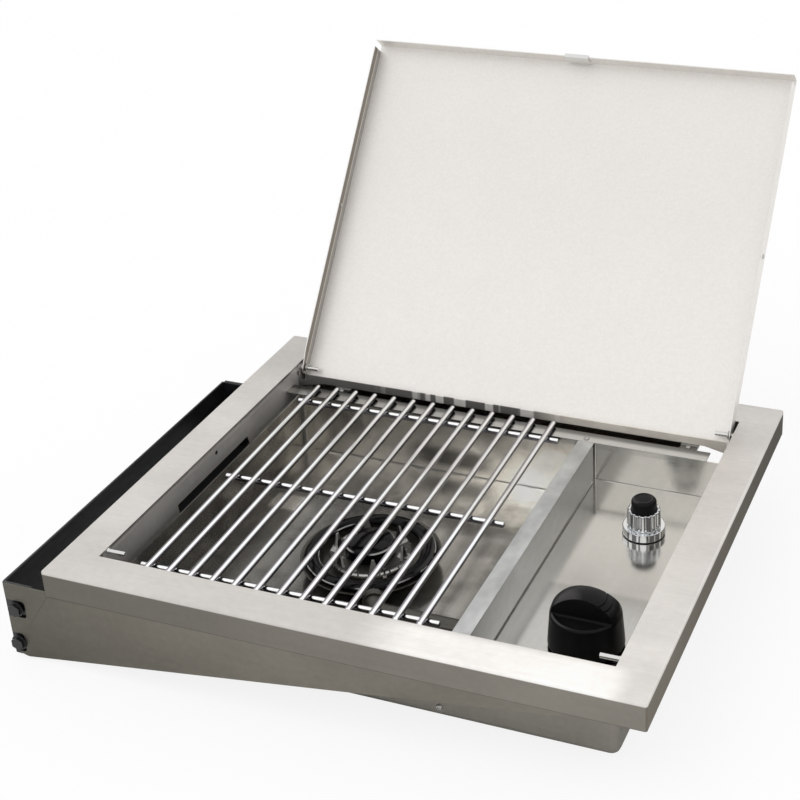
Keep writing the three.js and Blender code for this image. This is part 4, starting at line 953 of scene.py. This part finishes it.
class DressLid(bpy.types.Operator):
    """Finish the lid, its latch, its pins and its clips."""

    bl_idname = "side_burner.dress_lid"
    bl_label = "Lid"

    def execute(self, context):
        dress(lid_steel, 0.3, "lid")
        dress(bright_steel, 0.25, "lid_latch")
        for side in ("left", "right"):
            dress(screw_steel, 0.15, f"lid_rivet_{side}")
            dress(bright_steel, 0.3, f"hinge_pin_{side}", f"rest_pin_{side}")
            dress(screw_steel, 0.2, f"hinge_clip_{side}")
        return {"FINISHED"}


class BuildGrill(bpy.types.Operator):
    """Build the grill from round rods with domed ends and its welds."""

    bl_idname = "side_burner.build_grill"
    bl_label = "Grill"

    def execute(self, context):
        look = look_of("grill")
        low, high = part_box("grill")
        radius = look.diameter / 2
        middle = (low + high) / 2
        top = high.z - radius
        under = low.z + radius
        turn = Matrix.Rotation(look.turn, 3, "Z")
        half_width = (look.rods - 1) * look.pitch / 2
        half_length = 160.5 * mm
        cross_rods = [-146.0 * mm, -3.95 * mm, 138.1 * mm]
        weld_size = Matrix.Diagonal((1.9 * mm, 1.9 * mm, 0.9 * mm, 1.0))

        def at(x, y, z):
            spot = turn @ Vector((x, y, 0.0))
            return Vector((middle.x + spot.x, middle.y + spot.y, z))

        bm = bmesh.new()
        for y in cross_rods:
            reach = half_width + look.overhang
            add_rod(bm, at(-reach, y, under), at(reach, y, under), radius / mm, 0.5)
        for i in range(look.rods):
            x = i * look.pitch - half_width
            add_rod(bm, at(x, -half_length, top), at(x, half_length, top), radius / mm, 0.9)
            for y in cross_rods:
                where = Matrix.Translation(at(x, y, (top + under) / 2))
                made = bmesh.ops.create_icosphere(bm, subdivisions=2, radius=1.0)["verts"]
                bmesh.ops.transform(bm, matrix=where @ weld_size, verts=made)
        new_piece("grill_rods", bm, rod_chrome, "grill", "grill")
        return {"FINISHED"}


class BuildBurner(bpy.types.Operator):
    """Build the burner's ring, cap and finned spreader, and finish its base."""

    bl_idname = "side_burner.build_burner"
    bl_label = "Burner"

    def execute(self, context):
        look = look_of("burner")
        centre = middle_of("burner_ring")
        self.build_ring(look, centre)
        self.build_spreader(look, centre)
        self.build_cap(look, centre)
        dress(dull_casting, 0.2, "burner_base", "mixing_tube")
        dress(ceramic, 0, "spark_electrode")
        return {"FINISHED"}

    def build_ring(self, look, centre):
        base, tall = foot_and_height("burner_ring", centre)
        outer = look.ring_radius / mm
        inner = outer - 14
        points = [
            (outer - 1.6, 0, 0.3),
            (outer, 1.4, 1.2),
            (outer - 1.4, tall - 0.9, 2.2),
            ((outer + inner) / 2, tall, 3.0),
            (inner + 1.4, tall - 0.9, 2.2),
            (inner, 1.4, 1.2),
            (inner + 1.6, 0, 0.3),
        ]
        bm = lathe(rounded(points, 1.0), 96, base)
        new_piece("ring_enamel", bm, black_enamel, "base", "burner_ring")

    def build_spreader(self, look, centre):
        base, tall = foot_and_height("flame_spreader", centre)
        deck = 4.8
        groove = deck - 0.7
        points = [
            (34.9, 0, 0.2),
            (36.4, 3.0, 0.8),
            (34.9, deck, 0.8),
            (32.6, deck, 0.5),
            (31.2, groove, 0.5),
            (19.4, groove, 0.5),
            (18.6, deck, 0.4),
            (17, deck, 0.2),
            (17, 0, 0.2),
        ]
        body = lathe(rounded(points, 0.5, 3), 96, base)
        flame_slots = 24
        slot_low = Vector((33.4, -0.65, deck - 1.8)) * mm
        slot_high = Vector((38.5, 0.65, deck + 2)) * mm
        cutters = bmesh.new()
        for i in range(flame_slots):
            angle = tau * (i + 0.5) / flame_slots
            turn = Matrix.Translation(base) @ Matrix.Rotation(angle, 4, "Z")
            add_box(cutters, slot_low, slot_high, turn)
        bm = cut_from(body, [cutters])
        for i in range(look.fins):
            self.add_fin(bm, base, tau * i / look.fins, deck, tall)
        node = "flame_spreader"
        new_piece("spreader_cast", bm, cast_alloy, "base", node, 0.25)

    def add_fin(self, bm, base, angle, deck, tall):
        """One upright fin: wide at its root, narrowing to a blunt tip."""
        turn = Matrix.Translation(base) @ Matrix.Rotation(angle, 4, "Z")
        middle = 31
        # Height, half the width and half the thickness
        rows = [
            (deck - 1.2, 4.7, 1.5),
            (deck + 0.6, 4.15, 1.25),
            (deck + (tall - deck) * 0.5, 2.7, 1.1),
            (tall - 0.8, 1.35, 0.95),
            (tall, 0.9, 0.6),
        ]
        rings = []
        for z, half, thick in rows:
            near, far = middle - thick, middle + thick
            spots = [(near, -half), (far, -half), (far, half), (near, half)]
            rings.append([bm.verts.new(turn @ (Vector((x, y, z)) * mm)) for x, y in spots])
        skin(bm, rings, capped=True)

    def build_cap(self, look, centre):
        base, tall = foot_and_height("burner_cap", centre)
        radius = look.cap_radius / mm
        stem = 16.7
        points = [
            (0, tall),
            (0, 0),
            (stem, 0, 0.3),
            (stem, 6, 0.1),
            (radius - 0.8, 6, 0.4),
            (radius, 7, 0.7),
            (radius, tall - 2.8, 1.6),
            (radius - 2.2, tall - 1.0, 1.8),
            (radius * 0.5, tall - 0.2, 3.0),
        ]
        bm = lathe(rounded(points, 0.8), 80, base)
        new_piece("cap_enamel", bm, black_enamel, "base", "burner_cap")


class BuildKnob(bpy.types.Operator):
    """Build the knob with its scooped sides, pointer grooves and hollow back."""

    bl_idname = "side_burner.build_knob"
    bl_label = "Knob"

    def execute(self, context):
        look = look_of("knob")
        base, tall = foot_and_height("knob", middle_of("knob"))
        foot = look.radius / mm
        ridge = look.ridge / mm
        crown = look.dome / mm
        sides = 144
        shoulder = 28.5
        lip = 26.4
        above_top = tall + 2

        def dome(radius):
            return tall - crown + sqrt(crown**2 - radius**2)

        points = [
            (0, tall),
            (0, 16.4),
            (4.2, 16.4, 0.1),
            (4.2, 0, 0.2),
            (9, 0, 0.2),
            (9, 24, 0.6),
            (25.4, 24, 1.0),
            (foot - 2.6, 0, 0.2),
            (foot, 0, 0.3),
            (foot - 0.2, 2.4, 0.4),
            (shoulder, lip, 1.0),
            (26.2, dome(26.2), 1.2),
        ]
        points += [(r, dome(r), 0.5) for r in range(24, 0, -3)]
        body = lathe(rounded(points, 1.0, 4), sides, base)
        # What the scoops take away, before the ridge is taken out of it
        above = [
            (0, 27.0),
            (22.6, 27.2, 2.0),
            (24.6, 27.7, 1.0),
            (25.6, 28.5, 0.6),
            (26.6, 28.5, 0.9),
            (27.9, 27.6, 1.0),
            (shoulder, lip, 0.2),
            (34, lip, 0),
            (34, above_top, 0),
            (0, above_top),
        ]
        scoop = lathe(rounded(above, 1.0, 5), sides, base)
        # Half the ridge's outline, as distance from its middle and height
        flank = [(3.2, -2), (3.2, 27.2), (2.2, 28.6), (0, tall), (0, tall + 6)]
        outline = [(ridge + y, z) for y, z in flank]
        outline += [(-ridge - y, z) for y, z in reversed(flank)]
        cutters = [cut_from(scoop, [self.bar(base, outline)])]
        for inner in (16.5, 21.1):
            cutters.append(self.arc(base, inner, dome(inner + 0.5) - 0.9, above_top))
        bm = cut_from(body, cutters)
        bmesh.ops.dissolve_degenerate(bm, edges=bm.edges, dist=0.01 * mm)
        new_piece("knob_moulding", bm, black_plastic, "knob", "knob", 0.3)
        dress(bright_steel, 0.15, "valve_stem")
        return {"FINISHED"}

    def bar(self, base, outline):
        """A straight bar along X with this outline across Y and Z."""
        half = 40
        bm = bmesh.new()
        ends = []
        for x in (-half, half):
            ends.append([bm.verts.new(base + Vector((x, y, z)) * mm) for y, z in outline])
        skin(bm, ends, capped=True)
        return bm

    def arc(self, base, inner, low, high):
        """A short piece of a ring, 1 mm wide, round the pointer's end."""
        steps = 36
        reach = 1.2
        outer = inner + 1.0
        bm = bmesh.new()
        sections = []
        for k in range(steps + 1):
            a = reach * (2 * k / steps - 1)
            spots = [(inner, low), (outer, low), (outer, high), (inner, high)]
            section = []
            for r, z in spots:
                spot = Vector((r * cos(a), r * sin(a), z))
                section.append(bm.verts.new(base + spot * mm))
            sections.append(section)
        skin(bm, sections, capped=True)
        return bm


class BuildIgniter(bpy.types.Operator):
    """Build the igniter's ring, fluted collar and push cap."""

    bl_idname = "side_burner.build_igniter"
    bl_label = "Igniter"

    def execute(self, context):
        centre = middle_of("igniter_collar")
        self.build_ring(centre)
        self.build_collar(look_of("igniter"), centre)
        self.build_cap(centre)
        dress(black_plastic, 0.15, "igniter_gasket", "igniter_barrel")
        dress(zinc, 0.3, "igniter_nut")
        return {"FINISHED"}

    def build_ring(self, centre):
        base, tall = foot_and_height("igniter_ring", centre)
        inner, outer = 9.3, 18.55
        points = [(inner, 0, 0.1), (outer, 0, 0.3), (outer, tall, 0.8), (inner, tall, 0.1)]
        bm = lathe(rounded(points, 0.5), 80, base)
        new_piece("igniter_base_ring", bm, trim_chrome, "base", "igniter_ring")

    def build_collar(self, look, centre):
        base, tall = foot_and_height("igniter_collar", centre)
        depth = look.flute_depth / mm
        bore = 11.3
        bore_floor = tall - 13.3
        stem = 9.3

        def flute(angle, radius, height):
            """How far the outer wall moves out or in, once it has risen past the foot."""
            if radius < 12.5:
                return 0.0
            start = min(1.0, max(0.0, (height - 1.3) / 1.4))
            wave = cos(angle * look.flutes)
            hollow = max(0.0, wave) ** 0.7
            ridge = max(0.0, -wave) ** 2
            return (ridge * 0.1 - hollow * depth) * start

        steps = 22
        points = [(stem, 0), (14.4, 0), (14.65, 0.4)]
        for k in range(steps + 1):
            h = 1.0 + (tall - 2.0) * k / steps
            points.append((14.7 - 0.65 * (h / tall), h))
        points += [(13.95, tall - 0.5), (13.6, tall - 0.12), (13.2, tall), (12.0, tall)]
        points += [(11.5, tall - 0.15), (bore, tall - 0.5), (bore, bore_floor)]
        points += [(stem, bore_floor)]
        bm = lathe(points, look.flutes * 12, base, flute)
        node = "igniter_collar"
        new_piece("igniter_fluted_collar", bm, trim_chrome, "base", node)

    def build_cap(self, centre):
        base, tall = foot_and_height("igniter_cap", centre)
        radius = 10.95
        points = [
            (0, tall - 0.2),
            (0, 0),
            (radius, 0, 0.3),
            (radius, tall - 2.6, 1.6),
            (9.4, tall - 0.8, 1.4),
            (7.9, tall, 1.0),
            (6.6, tall - 0.5, 1.0),
        ]
        bm = lathe(rounded(points, 0.8), 72, base)
        body, node = "igniter_button", "igniter_cap"
        new_piece("igniter_button", bm, black_plastic, body, node)


class DressGasParts(bpy.types.Operator):
    """Finish the valve, its orifice, the air shutter and the supply pipe."""

    bl_idname = "side_burner.dress_gas_parts"
    bl_label = "Gas Parts"

    def execute(self, context):
        dress(brass, 0.25, "valve_body", "orifice", "inlet_fitting")
        dress(brass, 0, "gas_pipe")
        dress(zinc, 0.15, "air_shutter")
        return {"FINISHED"}


class DressFixings(bpy.types.Operator):
    """Finish the bolts, nuts and screws."""

    bl_idname = "side_burner.dress_fixings"
    bl_label = "Fixings"

    def execute(self, context):
        for side in ("front", "rear"):
            for spot in ("upper", "lower"):
                dress(black_paint, 0.3, f"{side}_bolt_{spot}")
                dress(zinc, 0.3, f"{side}_nut_{spot}")
        screws = ["box_screw", "ledge_screw_left", "ledge_screw_right", "divider_screw"]
        dress(screw_steel, 0.2, *screws)
        return {"FINISHED"}


class SetStage(bpy.types.Operator):
    """Set the pale floor, the soft light and the camera."""

    bl_idname = "side_burner.set_stage"
    bl_label = "Stage"

    def execute(self, context):
        look = look_of("stage")
        self.set_floor(look)
        self.set_world(look)
        self.set_lamp(look)
        self.set_camera()
        context.scene.view_settings.view_transform = "Standard"
        return {"FINISHED"}

    def set_floor(self, look):
        bm = bmesh.new()
        bmesh.ops.create_grid(bm, x_segments=4, y_segments=4, size=12.0)
        lower = Vector((0.0, 0.0, cad_box[0].z - look.floor_gap))
        bmesh.ops.translate(bm, vec=lower, verts=bm.verts)
        floor = as_object("floor", bm)
        s = Shading(bpy.data.materials.new("floor"))
        # The ground between the end plate and the box lies in deep shade
        shade = s.run().within(-52, -46, -24, -12) * s.back().within(200, 225, 365, 385)
        bright = (0.995 + s.noise(400) * 0.01) * (1.0 - shade * 0.98)
        colour = s.scaled((0.98, 0.98, 0.98), bright)
        s.set(Base_Color=colour, Roughness=0.9, Specular_IOR_Level=0.0)
        camera_ray = s.add("ShaderNodeLightPath", output="Is Camera Ray")
        lit = Value(s, s.surface.outputs[0])
        white = s.add("ShaderNodeEmission", None, {"Color": (1.0, 1.0, 1.0), "Strength": 1.0})
        share = camera_ray * look.whiteness * (1.0 - shade)
        mixed = s.add("ShaderNodeMixShader", None, {0: share, 1: lit, 2: white})
        s.plug(s.tree.nodes["Material Output"], "Surface", mixed)
        floor.data.materials.append(s.owner)

    def set_world(self, look):
        """White for what the camera and mirrors see, and a softer sky for the light."""
        world = bpy.data.worlds.new("studio")
        bpy.context.scene.world = world
        s = Shading(world, "Background")
        rays = ("Is Camera Ray", "Is Glossy Ray", "Is Transmission Ray")
        camera, glossy, through = [s.add("ShaderNodeLightPath", output=ray) for ray in rays]
        seen = camera.highest(glossy).highest(through)
        s.set(Color=(1.0, 1.0, 1.0), Strength=look.sky + seen * (1.0 - look.sky))

    def set_lamp(self, look):
        lamp = bpy.data.lights.new("soft_lamp", "SUN")
        lamp.energy = look.lamp
        lamp.angle = radians(55)
        thing = bpy.data.objects.new("soft_lamp", lamp)
        thing.rotation_mode = "QUATERNION"
        towards = Vector((0.45, 0.5, -1.0))
        thing.rotation_quaternion = towards.to_track_quat("-Z", "Y")
        thing.visible_glossy = False
        bpy.context.scene.collection.objects.link(thing)

    def set_camera(self):
        """The photograph's own camera: a crop from beside the middle of a wider view."""
        camera = bpy.data.cameras.new("camera")
        focal_pixels = 1636.23
        image_pixels = 800
        centre_pixels = Vector((510.84, 316.11))
        camera.sensor_width = 36.0
        camera.lens = focal_pixels / image_pixels * camera.sensor_width
        camera.shift_x = (image_pixels / 2 - centre_pixels.x) / image_pixels
        camera.shift_y = (centre_pixels.y - image_pixels / 2) / image_pixels
        camera.clip_start = 0.01
        camera.clip_end = 60.0
        thing = bpy.data.objects.new("camera", camera)
        thing.location = place(753.58, -856.89, 743.79)
        angles = (63.61135601, 1.84971446, 20.97536332)
        thing.rotation_euler = Euler([radians(a) for a in angles])
        bpy.context.scene.collection.objects.link(thing)
        bpy.context.scene.camera = thing


operators = [DressSheetMetal, DressLid, BuildGrill, BuildBurner, BuildKnob, BuildIgniter]
operators += [DressGasParts, DressFixings, SetStage]


class SideBurnerPanel(bpy.types.Panel):
    bl_idname = "VIEW3D_PT_side_burner"
    bl_label = "Side Burner"
    bl_space_type = "VIEW_3D"
    bl_region_type = "UI"
    bl_category = "Side Burner"

    def draw(self, context):
        for group in setting_groups:
            settings = look_of(group)
            for name in settings.bl_rna.properties.keys():
                if name not in ("rna_type", "name"):
                    self.layout.prop(settings, name)
        for operator in operators:
            self.layout.operator(operator.bl_idname)


def register():
    for group, kind in setting_groups.items():
        bpy.utils.register_class(kind)
        setattr(bpy.types.Scene, setting_prefix + group, bpy.props.PointerProperty(type=kind))
    for kind in [*operators, SideBurnerPanel]:
        bpy.utils.register_class(kind)


def unregister():
    for kind in reversed([*operators, SideBurnerPanel]):
        bpy.utils.unregister_class(kind)
    for group, kind in setting_groups.items():
        delattr(bpy.types.Scene, setting_prefix + group)
        bpy.utils.unregister_class(kind)


def main():
    register()
    for operator in operators:
        family, action = operator.bl_idname.split(".")
        getattr(getattr(bpy.ops, family), action)()


if __name__ == "__main__":
    main()
